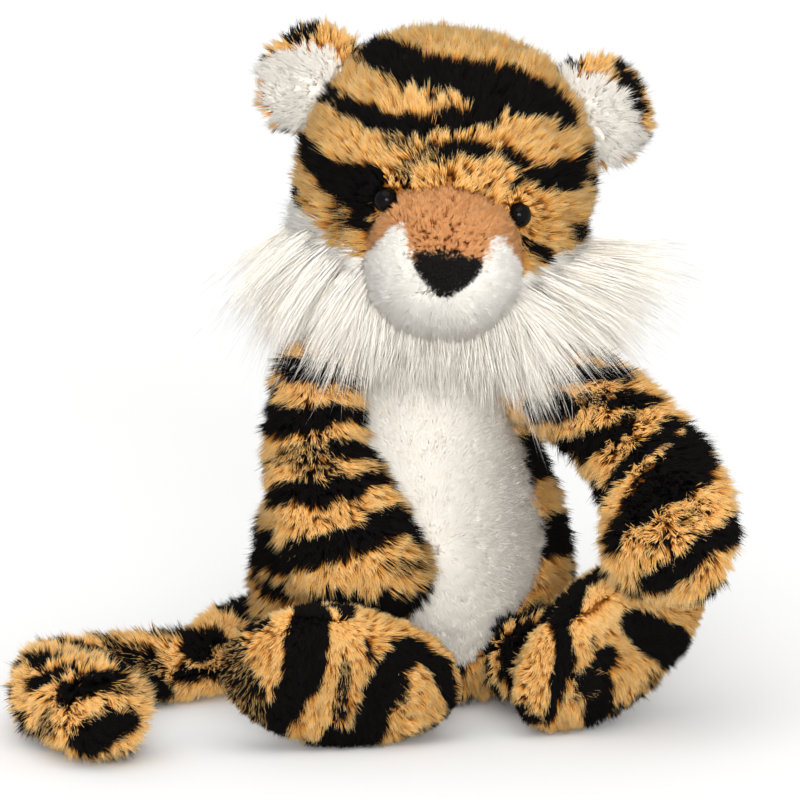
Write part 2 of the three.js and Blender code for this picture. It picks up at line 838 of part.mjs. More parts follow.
// A leg runs along its own -Y from the hip to the rim of the sole, with the toe out to one side
function legTube(inset, sides) {
  const ankle = -leg_length + foot_depth / 2;
  return stuffed({
    route: [
      new THREE.Vector3(),
      new THREE.Vector3(0, ankle / 2, 0),
      new THREE.Vector3(0, ankle, 0),
    ],
    girth: [
      [0, leg_radius, leg_radius],
      [1, leg_radius, leg_radius],
    ],
    caps: [leg_radius, leg_radius],
    up: new THREE.Vector3(0, 0, 1),
    flats: [sides, 2],
    inset,
  });
}

function footForm(side, inset, depth, flats = facets.foot) {
  const form = new THREE.SphereGeometry(1, ...flats);
  form.rotateX(Math.PI / 2);
  form.scale(foot_half_length - inset, depth, foot_half_width - inset);
  return form.translate(side * foot_offset, -leg_length, foot_lift);
}

function behind(place) {
  const low = new THREE.Vector3(-2 * cut_overrun, place, -2 * cut_overrun);
  const high = new THREE.Vector3(2 * cut_overrun, 2 * cut_overrun, 2 * cut_overrun);
  return solid(block(low, high));
}

function legPieces(side, name) {
  const rim = -leg_length;
  const depth = foot_depth;
  const inner_inset = fur_cloth;
  const fill_inset = fur_cloth + sew_gap;
  const whole = solid(legTube(0, facets.leg)).add(solid(footForm(side, 0, depth)));
  const hollow = solid(legTube(inner_inset, facets.leg_inside)).add(
    solid(footForm(side, inner_inset, depth - inner_inset, facets.foot_inside)),
  );
  const filled = solid(legTube(fill_inset, facets.leg_inside)).add(
    solid(footForm(side, fill_inset, depth - fill_inset, facets.foot_inside)),
  );
  const hole = rootOpening(leg_radius, new THREE.Vector3(0, -1, 0));
  const skin = whole.intersect(behind(rim)).subtract(hollow).subtract(hole);
  const sole = solid(footForm(side, 0, sole_bulge)).subtract(behind(rim - sew_gap));
  const made = new THREE.Group();
  made.applyMatrix4(legPlacing(side));
  made.add(
    piece("leg_skin_" + name, skin, cloth(colours.tiger)),
    piece("sole_" + name, sole, cloth(colours.tiger)),
    piece("leg_stuffing_" + name, filled.intersect(behind(rim)), cloth(colours.wadding)),
  );
  return made;
}

// Where a leg's own frame lies: at its hip, pointed out, and rolled so that its toe is raised
function legPlacing(side) {
  const name = side > 0 ? "left" : "right";
  const roll = -side * THREE.MathUtils.degToRad(foot_raised_degrees[name]);
  const spread = side * THREE.MathUtils.degToRad(leg_spread_degrees[name]);
  const turn = new THREE.Euler(0, roll, spread, "ZYX");
  const size = new THREE.Vector3(1, 1, 1);
  return new THREE.Matrix4().compose(hip(side), new THREE.Quaternion().setFromEuler(turn), size);
}

function tailPieces() {
  const route = tail_route_shares.map(([x, y, z]) => {
    return new THREE.Vector3(x, y, z).multiplyScalar(tail_length);
  });
  const tip_radius = tail_girth_shares.at(-1)[1] * tail_radius;
  const shape = {
    route,
    girth: tail_girth_shares.map(([share, girth]) => {
      return [share, girth * tail_radius, girth * tail_radius];
    }),
    caps: [tail_radius, tip_radius],
    up: new THREE.Vector3(0, 0, 1),
    flats: facets.tail,
  };
  const body = bodyFrom(tail_place, new THREE.Vector3(0, 0, 1), 0, swing_gap);
  const root = solid(ball(tail_radius, new THREE.Vector3(), facets.tail[0]));
  const floor = solid(below(-tail_place.z));
  const whole = solid(stuffed(shape));
  const outer = whole.subtract(body).add(root.intersect(whole)).subtract(floor);
  const heading = new THREE.Vector3().subVectors(route[1], route[0]).normalize();
  const inner = solid(stuffed({ ...shape, inset: fur_cloth, flats: facets.tail_inside }));
  const filled = solid(stuffed({ ...shape, inset: fur_cloth + sew_gap, flats: facets.tail_inside }));
  const skin = outer.subtract(inner).subtract(rootOpening(tail_radius, heading));
  return group(tail_place, [
    piece("tail_skin", skin, cloth(colours.tiger)),
    piece("tail_stuffing", filled.subtract(body), cloth(colours.wadding)),
  ]);
}

function group(place, pieces) {
  const made = new THREE.Group();
  made.position.copy(place);
  made.add(...pieces);
  return made;
}

const tiger = new THREE.Group();
tiger.add(...bodyPieces());

const head = group(new THREE.Vector3(), headPieces());
head.rotation.y = THREE.MathUtils.degToRad(head_tilt);
head.rotation.z = THREE.MathUtils.degToRad(head_turned);
head.add(cheekRuff(1, "left"), cheekRuff(-1, "right"), chinRuff());
head.add(ear(1, "left"), ear(-1, "right"));
tiger.add(group(neck_place, [neckWadding(), head]));

tiger.add(armPieces(1, "left"), armPieces(-1, "right"));
tiger.add(legPieces(1, "left"), legPieces(-1, "right"));
tiger.add(tailPieces());

export default tiger;
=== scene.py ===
import copy
import math
from collections import namedtuple

import bpy
import numpy as np
from mathutils import Matrix, Vector
from mathutils.bvhtree import BVHTree


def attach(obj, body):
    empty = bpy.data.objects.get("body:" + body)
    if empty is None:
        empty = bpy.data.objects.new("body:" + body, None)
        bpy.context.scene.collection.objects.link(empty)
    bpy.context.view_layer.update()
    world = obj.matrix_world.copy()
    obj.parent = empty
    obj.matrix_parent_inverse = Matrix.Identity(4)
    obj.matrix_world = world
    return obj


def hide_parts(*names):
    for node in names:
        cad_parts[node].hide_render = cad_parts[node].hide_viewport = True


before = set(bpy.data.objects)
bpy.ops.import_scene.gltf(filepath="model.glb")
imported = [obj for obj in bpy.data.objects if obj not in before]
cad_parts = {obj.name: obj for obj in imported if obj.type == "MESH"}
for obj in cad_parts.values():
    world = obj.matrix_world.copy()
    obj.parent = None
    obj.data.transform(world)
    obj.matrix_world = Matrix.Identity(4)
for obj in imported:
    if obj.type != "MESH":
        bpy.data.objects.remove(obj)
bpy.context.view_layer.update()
rng = np.random.default_rng(23)
MM = 0.001

# Body
TORSO_TURN = 14.0
TORSO_HALF = (57.5, 44.5)
TORSO_STATIONS = [
    (0, 0.8, 0.84), (0.12, 0.94, 0.96), (0.28, 1, 1), (0.46, 0.96, 0.93),
    (0.63, 0.865, 0.81), (0.79, 0.73, 0.72), (0.92, 0.6, 0.69),
]
NECK = np.array([2.91, 0.73, 116.0])
NECK_RADIUS = 31.0
SEAT_BULGE = 6.0
BELLY_HALF_WIDTH = 40.0
BELLY_LOW = 20.0
BELLY_HIGH = 124.0
BELLY_OUTLINE = [(0.0, 0.24), (0.1, 0.5), (0.24, 0.86), (0.4, 1.0), (0.74, 0.8), (1.0, 0.56)]

# Head, in its own frame about the neck
HEAD_TILT = 6.5
HEAD_TURN = 2.5
HEAD_CENTRE = np.array([0, -4.0, 69.0])
HEAD_HALF = np.array([51.0, 47.0, 52.5])
HEAD_ROUND = 2.25
MUZZLE_CENTRE = np.array([0, -40.0, 47.5])
MUZZLE_HALF = 26.0
EYE_RADIUS = 4.5
EYE_SPACING = 24.0
EYE_DROP = 3.6
EAR_ANGLE = 60.0
EAR_LEAN = 54.0
EAR_HALF = np.array([20.5, 4.5, 17.0])
EAR_RISE = 8.5

# Limbs
SHOULDER = {"left": (39.22, -1.87, 115.0), "right": (-33.75, -20.06, 115.0)}
HIP = {"left": (33.75, -24.57, 20.0), "right": (-18.26, -37.53, 20.0)}
TAIL_PLACE = (-10.16, 40.75, 15.0)
ARM_LENGTH = 90.0
ARM_ROUTE = {
    "left": [(0, 0, 0), (0.27, -0.18, -0.1), (0.45, -0.38, -0.26), (0.54, -0.62, -0.41),
             (0.51, -0.86, -0.54)],
    "right": [(0, 0, 0), (0, -0.16, -0.27), (0.08, -0.31, -0.48), (0.165, -0.41, -0.64),
              (0.215, -0.4, -0.715)],
}
ARM_ROOT = 15.0
ARM_HALF = (22.0, 15.0)
ARM_STATIONS = [(0.3, 0.76, 1.12), (0.6, 0.93, 1.1), (0.85, 1, 1), (1, 0.94, 0.94)]
LEG_LENGTH = 45.5
LEG_RADIUS = 13.5
LEG_SPREAD = {"left": 29.0, "right": -12.4}
FOOT_RAISED = {"left": 30.0, "right": 9.0}
FOOT_HALF = (42.0, 24.0)
FOOT_OFFSET = 17.2
FOOT_LIFT = 2.0
FOOT_BACK = 10.0
FOOT_FRONT = 7.0
TAIL_LENGTH = 225.0
TAIL_RADIUS = 10.5
TAIL_ROUTE = [
    (0, 0, 0), (-0.116, 0.053, -0.01), (-0.213, -0.02, -0.015), (-0.267, -0.124, -0.015),
    (-0.284, -0.235, -0.015), (-0.373, -0.293, -0.012), (-0.462, -0.329, -0.008),
    (-0.513, -0.409, -0.004), (-0.505, -0.511, 0.002), (-0.43, -0.622, 0.008),
]
TAIL_STATIONS = [(0, 1), (0.3, 1), (0.72, 1.12), (1, 1.5)]

# Stripes drawn on the fur, each a list of places x, y, z with a half width. One that isn't
# fully black has before its list how dark it is.
STRIPES = {}
STRIPES["head"] = [
    [-16,-5,231,5.5, -8,-24,229,7.5, 3,-33,226,7, 12,-35,225,7, 23,-36,222,9.5, 34,-34,220,10,
     43,-29,217,7.5, 53,-21,209,4.5],
    [-30,-13,216,3.5, -21,-32,213,3, -13,-39,210,4, -6,-43,208,3, 5,-45,209,3.5, 15,-45,211,3.5,
     25,-42,213,4.5],
    (0.5, [-8,-44,204,3, -2,-46,204,3]),
    (0.5, [-5,-47,193,2, -2,-48,195,2, 3,-48,199,3, 9,-48,201,2]),
    [6,-48,201,2, 11,-48,201,2.5, 18,-48,201,2.5, 24,-46,200,2.5, 31,-45,198,2, 38,-42,196,2.5],
    [-5,-43,208,2.5, -2,-46,204,2, 1,-47,202,1],
    (0.5, [-6,-47,192,1.5, -2,-48,190,1.5]),
    [-37,-8,199,3, -36,-17,196,4.5, -31,-29,191,5.5, -24,-37,188,6.5, -17,-42,190,6, -19,-41,182,4.5,
     -20,-40,175,3, -15,-43,172,2.5],
    (0.6, [-27,-35,179,3, -24,-37,174,3]),
    [-40,-3,181,2.5, -39,-12,177,3],
    [34,-44,189,2, 38,-42,191,2.5, 43,-39,191,4, 49,-34,189,5, 56,-24,191,4.5, 59,-15,195,3.5],
    [58,-21,190,3, 61,-3,183,2.5],
    [56,-20,169,3, 59,-3,170,3],
    [40,-38,166,2, 46,-32,163,2],
    [19,4,236,2, 23,4,235,2],
    [4,6,236,1, 9,-1,237,1, 25,2,235,1.5, 30,5,233,1.5],
    [-12,-1,233,3, -12,-1,233,3],
    (0.7, [23,-48,185,1.5, 24,-48,184,1]),
]
STRIPES["ear_right"] = [
    [-43,-6,237,2.5, -39,-6,238,2.5, -36,-6,240,2],
    [-51,-6,229,2, -51,-8,225,1.5],
    [-46,-6,204,2, -45,-6,202,2],
    [-21,-5,233,2, -19,-5,230,2],
]
STRIPES["ear_left"] = [
    [53,-2,225,3, 55,-2,227,3, 58,-2,228,2],
    [67,-6,224,2, 68,-6,222,2],
    [74,-1,225,3, 77,-2,219,3, 79,-3,212,3, 78,-5,206,2.5],
    [80,-2,200,2, 77,-3,198,2],
]
STRIPES["arm_right"] = [
    [-47,-22,121,3, -40,-32,121,3, -34,-35,120,3, -22,-30,117,3.5],
    [-43,-16,125,2.5, -37,-19,130,2.5],
    [-49,-26,111,3, -50,-30,105,4.5, -46,-40,102,4.5, -34,-45,106,3, -19,-29,104,2.5],
    (0.5, [-50,-32,87,2, -43,-49,93,2, -32,-51,96,2]),
    [-28,-50,96,2, -22,-47,95,3, -15,-39,92,3],
    (0.5, [-40,-53,90,1, -29,-55,90,1.5]),
    [-49,-48,78,3, -42,-55,82,2.5, -33,-60,82,3.5, -22,-58,84,3, -11,-46,84,2.5],
    [-43,-53,58,4.5, -34,-68,63,4, -21,-68,67,4.5, -5,-58,72,4.5, 1,-55,65,3.5],
    (0.6, [-41,-57,53,2, -39,-58,49,2]),
    [-33,-68,48,2, -21,-70,46,2],
    [-21,-68,41,4.5, -11,-68,43,4.5, 1,-54,46,4.5, 2,-55,48,3],
    (0.5, [-8,-68,58,1, 2,-59,57,1]),
]
STRIPES["arm_left"] = [
    [47,-14,126,2.5, 61,-15,124,2.5, 69,-18,121,2.5],
    [51,-25,118,2, 62,-29,118,2, 73,-27,118,3],
    [45,-23,106,3.5, 55,-32,108,3],
    (0.6, [60,-35,111,2, 68,-38,111,2]),
    [74,-39,111,3, 85,-34,109,2],
    [53,-19,93,2, 60,-40,95,4, 70,-48,101,3, 74,-46,105,2],
    [66,-58,80,2.5, 69,-62,87,2, 77,-59,95,2, 86,-51,101,1.5, 91,-41,103,2],
    [65,-46,83,2, 66,-62,78,2.5],
    [68,-86,71,3, 76,-81,81,6, 84,-72,88,7, 93,-63,91,8.5, 98,-49,96,7, 97,-37,99,3.5],
    [74,-81,56,3, 83,-93,61,3, 95,-91,68,2.5, 106,-73,71,3.5, 109,-61,73,3],
    (0.5, [79,-93,69,0.5, 93,-82,78,1, 107,-52,79,1]),
    [100,-84,56,3, 98,-83,54,3],
    [74,-81,56,2, 81,-80,53,2],
]
STRIPES["leg_left"] = [
    [65,-57,56,4, 59,-61,52,4.5, 52,-68,46,4, 49,-72,38,3, 51,-73,27,3, 48,-74,17,2.5, 47,-73,8,2],
    [32,-48,21,4.5, 33,-44,11,4.5, 36,-74,10,4, 39,-74,7,3],
    [74,-62,38,4.5, 81,-58,33,6.5, 91,-49,25,7, 93,-46,24,5.5],
    [67,-66,27,3, 63,-68,19,4.5, 63,-66,9,5.5, 63,-61,3,4.5],
    [69,-58,4,2.5, 76,-55,9,2.5],
    [83,-52,13,1.5, 85,-50,15,2],
    (0.5, [82,-55,16,2, 86,-49,15,2]),
    (0.5, [60,-69,33,1, 63,-68,28,1]),
]
STRIPES["leg_right"] = [
    (0.75, [-62,-94,38,3.5, -62,-96,29,5.5, -56,-95,18,5.5, -51,-92,9,3.5]),
    [-55,-92,44,3, -50,-89,46,2.5],
    [-39,-87,48,3, -30,-84,49,3, -23,-86,48,2.5],
    [-35,-91,46,6, -36,-94,39,7, -37,-95,31,7, -40,-95,22,6, -46,-95,14,5, -47,-91,8,4.5],
    (0.7, [-24,-92,31,1, -25,-92,22,2, -25,-92,13,3]),
    [-27,-89,4,5.5, -22,-86,1,4.5, -32,-88,2,4.5],
    [-4,-86,33,4.5, -10,-89,24,5, -14,-89,14,6, -17,-88,4,5],
    [-5,-86,35,3, 3,-83,33,3, 9,-82,27,3, 12,-81,19,2.5, 12,-79,11,2, 6,-79,5,2],
    (0.6, [-1,-81,3,2, 5,-81,6,2]),
    (0.5, [-17,-89,38,1, -14,-90,32,1.5]),
]
STRIPES["torso"] = [
    [32,12,112,3.5, 38,-4,99,3.5, 41,-2,93,2],
    [43,4,89,3, 47,12,79,4, 48,4,75,3.5],
    [50,-7,60,3, 54,0,54,5, 55,0,49,3.5],
    [55,4,43,2, 55,0,40,2],
    [51,-13,31,3.5, 39,20,17,4.5, 28,23,9,4.5, 13,-40,18,4.5],
    [14,-29,3,3, 24,-23,3,3],
    [-53,-6,59,3, -55,-14,50,4.5, -55,-15,42,3.5],
    [-51,-22,40,3.5, -44,-31,40,3],
    [14,-39,16,3.5, 28,13,8,5, 39,19,16,5, 43,-24,33,3],
]
STRIPES["tail"] = [
    [-126,-41,24,2, -115,-47,23,2, -99,-99,30,3, -98,-38,10,2],
    [-137,-57,19,1.5, -124,-84,29,2, -117,-84,30,1.5],
    [-137,-66,13,1.5, -125,-94,24,2, -117,-100,29,2, -111,-101,31,1],
    [-116,-109,24,3, -108,-110,27,3, -99,-106,28,2],
    [-135,-77,10,2, -131,-83,7,3, -126,-88,5,2],
    (0.6, [-126,-88,5,1.5, -122,-105,15,1.5]),
    [-109,-112,9,4.5, -103,-114,14,4.5, -98,-112,16,3],
    (0.7, [-118,-94,2,2, -108,-101,2,3, -100,-105,4,2]),
    (0.5, [-100,-108,27,1.5, -93,-104,21,2, -92,-98,16,2]),
    (0.8, [-100,-102,4,1.5, -95,-101,7,1.5]),
    (0.8, [-112,-31,24,2, -106,-37,22,2.5, -96,-35,19,2.5, -94,-36,15,2]),
    (0.6, [-100,-23,23,1.5, -93,-24,23,2, -89,-24,23,1.5]),
    [-89,-21,23,3, -82,-18,22,4.5, -79,-26,18,3.5],
    [-76,-20,20,3, -72,-16,20,3],
    [-94,-36,11,2.5, -89,-32,6,2.5],
    (0.6, [-89,-26,2,2, -82,-21,2,2]),
    [-84,-32,11,2, -74,-22,10,2.5],
]


# Vectors and splines
def unit(v):
    return v / np.maximum(np.linalg.norm(v, axis=-1, keepdims=True), 1e-9)


def smooth(x, low, high):
    t = np.clip((x - low) / (high - low), 0, 1)
    return t * t * (3 - 2 * t)


def turned(axis, degrees):
    return np.array(Matrix.Rotation(math.radians(degrees), 3, axis))


def catmull(points, samples):
    """Places at even steps along a smooth open curve through points."""
    p = np.array(points, float)
    ends = np.vstack([2 * p[0] - p[1], p, 2 * p[-1] - p[-2]])
    t = np.linspace(0, len(p) - 1, samples)
    at = np.minimum(t.astype(int), len(p) - 2)
    w = (t - at)[:, None]
    x0, x1, x2, x3 = (ends[at + k] for k in range(4))

    def gap(a, b):
        return np.maximum(np.linalg.norm(b - a, axis=1), 1e-6)[:, None] ** 0.5

    d0, d1, d2 = gap(x0, x1), gap(x1, x2), gap(x2, x3)
    t1 = ((x1 - x0) / d0 - (x2 - x0) / (d0 + d1) + (x2 - x1) / d1) * d1
    t2 = ((x2 - x1) / d1 - (x3 - x1) / (d1 + d2) + (x3 - x2) / d2) * d1
    bend = -3 * x1 + 3 * x2 - 2 * t1 - t2
    return x1 + t1 * w + bend * w**2 + (2 * x1 - 2 * x2 + t1 + t2) * w**3


# Surfaces: rings of points from one pole to the other, with normals and a middle for each ring
class Form:
    def __init__(self, places, middles):
        self.places = places
        self.middles = middles
        along = np.gradient(places, axis=0)
        around = np.roll(places, -1, 1) - np.roll(places, 1, 1)
        normals = unit(np.cross(along, around))
        outward = (normals[1:-1] * (places - middles[:, None])[1:-1]).sum()
        self.turned = outward < 0
        if self.turned:
            normals = -normals
        for end, inner in ((0, 1), (-1, -2)):
            normals[end] = unit(places[end].mean(0) - places[inner].mean(0))
        self.normals = normals
        self.along = unit(along)

    def inset(self, depth):
        made = copy.copy(self)
        made.places = self.places - self.normals * depth
        return made

    def drawn_in(self, share):
        """Drawn in towards its middle, for thin forms that an inset would turn inside out."""
        made = copy.copy(self)
        core = self.places.mean((0, 1))
        made.places = core + (self.places - core) * share
        return made

    def moved(self, turn, place):
        made = copy.copy(self)
        made.places = self.places @ turn.T + place
        made.middles = self.middles @ turn.T + place
        made.normals = self.normals @ turn.T
        made.along = self.along @ turn.T
        return made

    def mesh(self):
        """Vertices and faces of the closed surface, with one vertex at each pole."""
        rings, sides = self.places.shape[:2]
        body = self.places[1:-1].reshape(-1, 3)
        verts = np.vstack([self.places[0].mean(0), body, self.places[-1].mean(0)])
        i = np.arange(rings - 3)[:, None] * sides
        j = np.arange(sides)
        k = (j + 1) % sides
        quads = np.stack([i + j, i + k, i + sides + k, i + sides + j], -1).reshape(-1, 4) + 1
        first = np.stack([np.zeros(sides, int), k + 1, j + 1], -1)
        base = 1 + (rings - 3) * sides
        last = np.stack([np.full(sides, len(verts) - 1), base + j, base + k], -1)
        ends = np.vstack([first, last])
        if not self.turned:
            quads, ends = quads[:, ::-1], ends[:, ::-1]
        return verts, quads, ends


CAP_RINGS = 12


def circle(count):
    return np.linspace(0, 2 * math.pi, count, endpoint=False)


def stuffed(route, girth, caps, up, sides=48, step=2.0):
    """A stuffed tube that swells and tapers along a route; up says which way its thickness lies."""
    fine = catmull(route, 800)
    run = np.concatenate([[0], np.cumsum(np.linalg.norm(np.diff(fine, axis=0), axis=1))])
    length = run[-1]
    stations = catmull(girth, 300)
    shares = np.linspace(0, 1, max(int(length / step), 4))
    turn = np.linspace(0, math.pi / 2, CAP_RINGS)[:-1]
    back = turn[::-1]
    along = np.concatenate([-caps[0] * np.cos(turn), shares * length, length + caps[1] * np.cos(back)])

    def half_size(k):
        half = np.interp(shares, stations[:, 0], stations[:, k])
        half = np.concatenate([half[0] * np.sin(turn), half, half[-1] * np.sin(back)])
        return half[:, None, None]

    held = np.clip(along, 0, length)
    centre = np.stack([np.interp(held, run, fine[:, k]) for k in range(3)], -1)
    slope = unit(np.gradient(fine, axis=0))
    heading = unit(np.stack([np.interp(held, run, slope[:, k]) for k in range(3)], -1))
    centre += heading * (along - held)[:, None]
    across = np.cross(up, heading[0])
    side, through = [], []
    for h in heading:
        across = unit(across - h * (across @ h))
        side.append([across])
        through.append([np.cross(h, across)])
    angle = circle(sides)[None, :, None]
    places = centre[:, None] + np.array(side) * half_size(1) * np.sin(angle)
    places = places + np.array(through) * half_size(2) * np.cos(angle)
    return Form(places, centre)


def rounded(half, centre, roundness=2.0, front=None, sides=96, rings=48, pole="z"):
    """An ellipsoid, squarer as roundness grows past 2. front is the half size on the -Y side."""
    lift = -np.cos(np.linspace(0, math.pi, rings))
    reach = np.maximum(1 - np.abs(lift) ** roundness, 0) ** (1 / roundness)
    angle = circle(sides)
    x = reach[:, None] * np.cos(angle)
    y = reach[:, None] * np.sin(angle)
    z = np.repeat(lift[:, None], sides, 1)
    places = np.stack([x, y, z], -1)
    middle = np.stack([0 * lift, 0 * lift, lift], -1)
    if pole == "y":
        places = places[..., [0, 2, 1]]
        middle = middle[:, [0, 2, 1]] * 0
    half = np.array(half, float)
    places = places * half
    if front is not None:
        ahead = places[..., 1] < 0
        places[..., 1] = np.where(ahead, places[..., 1] * front / half[1], places[..., 1])
    return Form(places + centre, middle * half * 0.5 + centre)


# Frames of the head and the limbs
HEAD_FRAME = turned("Y", HEAD_TILT) @ turned("Z", HEAD_TURN)


def from_head(p):
    return np.asarray(p) @ HEAD_FRAME.T + NECK


def to_head(p):
    return (np.asarray(p) - NECK) @ HEAD_FRAME


def on_head(across, up):
    around = (1 - abs(up / HEAD_HALF[2]) ** HEAD_ROUND) ** (1 / HEAD_ROUND)
    ahead = math.sqrt(max(around**2 - (across / HEAD_HALF[0]) ** 2, 0))
    return np.array([across, -ahead * HEAD_HALF[1], up]) + HEAD_CENTRE


def head_normal(p):
    return unit((np.asarray(p) - HEAD_CENTRE) / HEAD_HALF**2)


SIDES = {"left": 1, "right": -1}


def ear_frame(name):
    side = SIDES[name]
    out = np.array([side * math.sin(math.radians(EAR_ANGLE)), 0, math.cos(math.radians(EAR_ANGLE))])
    place = out / math.hypot(out[0] / HEAD_HALF[0], out[2] / HEAD_HALF[2]) + HEAD_CENTRE
    turn = HEAD_FRAME @ turned("Y", side * EAR_LEAN)
    return turn, from_head(place)


def leg_frame(name):
    side = SIDES[name]
    turn = turned("Z", side * LEG_SPREAD[name]) @ turned("Y", -side * FOOT_RAISED[name])
    return turn, HIP[name]


# Meshes
def link(name, data):
    made = bpy.data.objects.new(name, data)
    bpy.context.scene.collection.objects.link(made)
    return made


def mesh_of(name, verts, faces, uv=None):
    """An object from arrays: vertices in millimetres, a list of face arrays, and a UV for each vertex."""
    data = bpy.data.meshes.new(name)
    data.vertices.add(len(verts))
    data.vertices.foreach_set("co", (np.asarray(verts) * MM).astype(np.float32).ravel())
    corners = np.concatenate([f.ravel() for f in faces]).astype(np.int32)
    sizes = np.concatenate([np.full(len(f), f.shape[1]) for f in faces])
    data.loops.add(len(corners))
    data.loops.foreach_set("vertex_index", corners)
    data.polygons.add(len(sizes))
    starts = np.concatenate([[0], np.cumsum(sizes)[:-1]]).astype(np.int32)
    data.polygons.foreach_set("loop_start", starts)
    if uv is not None:
        layer = data.uv_layers.new(name="OFBake")
        layer.uv.foreach_set("vector", uv[corners].astype(np.float32).ravel())
    data.update(calc_edges=True)
    data.validate()
    return link(name, data)


def tree_of(form):
    verts, quads, ends = form.mesh()
    return BVHTree.FromPolygons(verts.tolist(), quads.tolist() + ends.tolist())


def depth_in(tree, points):
    """How far each point lies inside a closed form; outside it is negative."""
    found = np.empty(len(points))
    away = Vector((0.62, -0.35, 0.70)).normalized()
    for i, p in enumerate(points.tolist()):
        spot, normal, _, far = tree.find_nearest(p)
        inside = (Vector(p) - spot).dot(normal) < 0
        if inside:
            _, leaving, _, _ = tree.ray_cast(p, away)
            inside = leaving is not None and leaving.dot(away) > 0
        found[i] = far if inside else -far
    return found


# Materials
def add(nt, kind, values, **settings):
    """A new shader node. Each value is set on its socket, or linked to it if it is an output."""
    node = nt.nodes.new(kind)
    for key, value in settings.items():
        setattr(node, key, value)
    for key, value in values.items():
        if isinstance(value, bpy.types.NodeSocket):
            nt.links.new(value, node.inputs[key])
        else:
            node.inputs[key].default_value = value
    return node


def ramp(nt, stops, factor):
    node = add(nt, "ShaderNodeValToRGB", {0: factor})
    elements = node.color_ramp.elements
    while len(elements) < len(stops):
        elements.new(0.5)
    for element, (place, colour) in zip(elements, stops):
        element.position = place
        element.color = (*colour, 1)
    return node.outputs[0]


def maths(nt, kind, *values):
    return add(nt, "ShaderNodeMath", dict(enumerate(values)), operation=kind).outputs[0]


def mixed(nt, factor, a, b, kind="MIX"):
    sockets = {0: factor, 6: a, 7: b}
    return add(nt, "ShaderNodeMix", sockets, data_type="RGBA", blend_type=kind).outputs[2]


def grain(nt, scale, **values):
    """Noise fixed to the object."""
    place = add(nt, "ShaderNodeTexCoord", {}).outputs["Object"]
    return add(nt, "ShaderNodeTexNoise", {"Vector": place, "Scale": scale, **values}).outputs[0]


def material(name, roughness, specular=0.5):
    made = bpy.data.materials.new(name)
    made.use_nodes = True
    nt = made.node_tree
    shader = nt.nodes["Principled BSDF"]
    shader.inputs["Roughness"].default_value = roughness
    shader.inputs["Specular IOR Level"].default_value = specular
    return made, nt, shader


def hair_uv(nt):
    uv = add(nt, "ShaderNodeUVMap", {}, uv_map="OFBake").outputs[0]
    split = add(nt, "ShaderNodeSeparateXYZ", {0: uv})
    return split.outputs[0], split.outputs[1]


# Hair colours from root to tip. Each is darker towards the root, which is painted shade deep in the pile;
# the pale tips are the hairs' own colour.
GOLD = [(0.0, (0.12, 0.035, 0.006)), (0.4, (0.50, 0.19, 0.03)), (0.66, (0.94, 0.54, 0.155)),
        (0.86, (0.96, 0.68, 0.30)), (0.95, (1.0, 0.90, 0.68))]
BLACK = [(0.0, (0.002, 0.0018, 0.002)), (0.75, (0.004, 0.0035, 0.0035)), (1.0, (0.010, 0.008, 0.007))]
WHITE = [(0.0, (0.90, 0.86, 0.80)), (0.5, (0.94, 0.915, 0.87)), (1.0, (0.965, 0.945, 0.905))]
CREAM = [(0.0, (0.80, 0.75, 0.68)), (0.5, (0.86, 0.825, 0.765)), (1.0, (0.895, 0.865, 0.81))]
LINING = [(0.0, (0.66, 0.62, 0.56)), (0.5, (0.74, 0.71, 0.655)), (1.0, (0.79, 0.76, 0.71))]
TAN = [(0.0, (0.36, 0.12, 0.035)), (0.5, (0.64, 0.29, 0.10)), (1.0, (0.86, 0.49, 0.23))]
VELOUR = [(0.0, (0.002, 0.002, 0.002)), (1.0, (0.017, 0.014, 0.013))]

# Tones that one kind of tiger hair runs through, and the part of the map where black turns to gold
TONES = [(0.0, (0.62, 0.52, 0.40)), (0.5, (0.86, 0.82, 0.76)), (1.0, (1, 1, 1))]
TONES_ACROSS = 6.0
BLACK_END, GOLD_START = 0.36, 0.66
TIP_GOLDER = 0.5


def striped_fur():
    """Tiger fur: across the map from black hair to gold, and up it from root to tip, with painted shade
    at the roots.
    """
    made, nt, shader = material("tiger_fur", 0.8, 0.08)
    u, v = hair_uv(nt)
    kind = maths(nt, "ADD", u, maths(nt, "MULTIPLY_ADD", v, TIP_GOLDER, -TIP_GOLDER / 2))
    share = add(nt, "ShaderNodeMapRange", {0: kind, 1: BLACK_END, 2: GOLD_START},
                interpolation_type="SMOOTHSTEP").outputs[0]
    shade = ramp(nt, TONES, maths(nt, "FRACT", maths(nt, "MULTIPLY", u, TONES_ACROSS)))
    colour = mixed(nt, share, ramp(nt, BLACK, v), ramp(nt, GOLD, v))
    nt.links.new(mixed(nt, 1.0, colour, shade, "MULTIPLY"), shader.inputs["Base Color"])
    return made


def plain_fur(name, stops, dim):
    """Fur of one colour, a little dimmer towards the low end of the map, with painted shade at the roots.
    """
    made, nt, shader = material(name, 0.8, 0.1)
    u, v = hair_uv(nt)
    shade = ramp(nt, [(0.0, dim), (1.0, (1.0, 1.0, 1.0))], u)
    nt.links.new(mixed(nt, 1.0, ramp(nt, stops, v), shade, "MULTIPLY"), shader.inputs["Base Color"])
    return made


def velour():
    made, nt, shader = material("nose_velour", 0.8, 0.12)
    nt.links.new(ramp(nt, VELOUR, hair_uv(nt)[1]), shader.inputs["Base Color"])
    return made


def plastic():
    made, nt, shader = material("eye_plastic", 0.05)
    shader.inputs["IOR"].default_value = 1.16
    stops = [(0.3, (0.001, 0.001, 0.001)), (0.7, (0.004, 0.003, 0.003))]
    nt.links.new(ramp(nt, stops, grain(nt, 260)), shader.inputs["Base Color"])
    return made


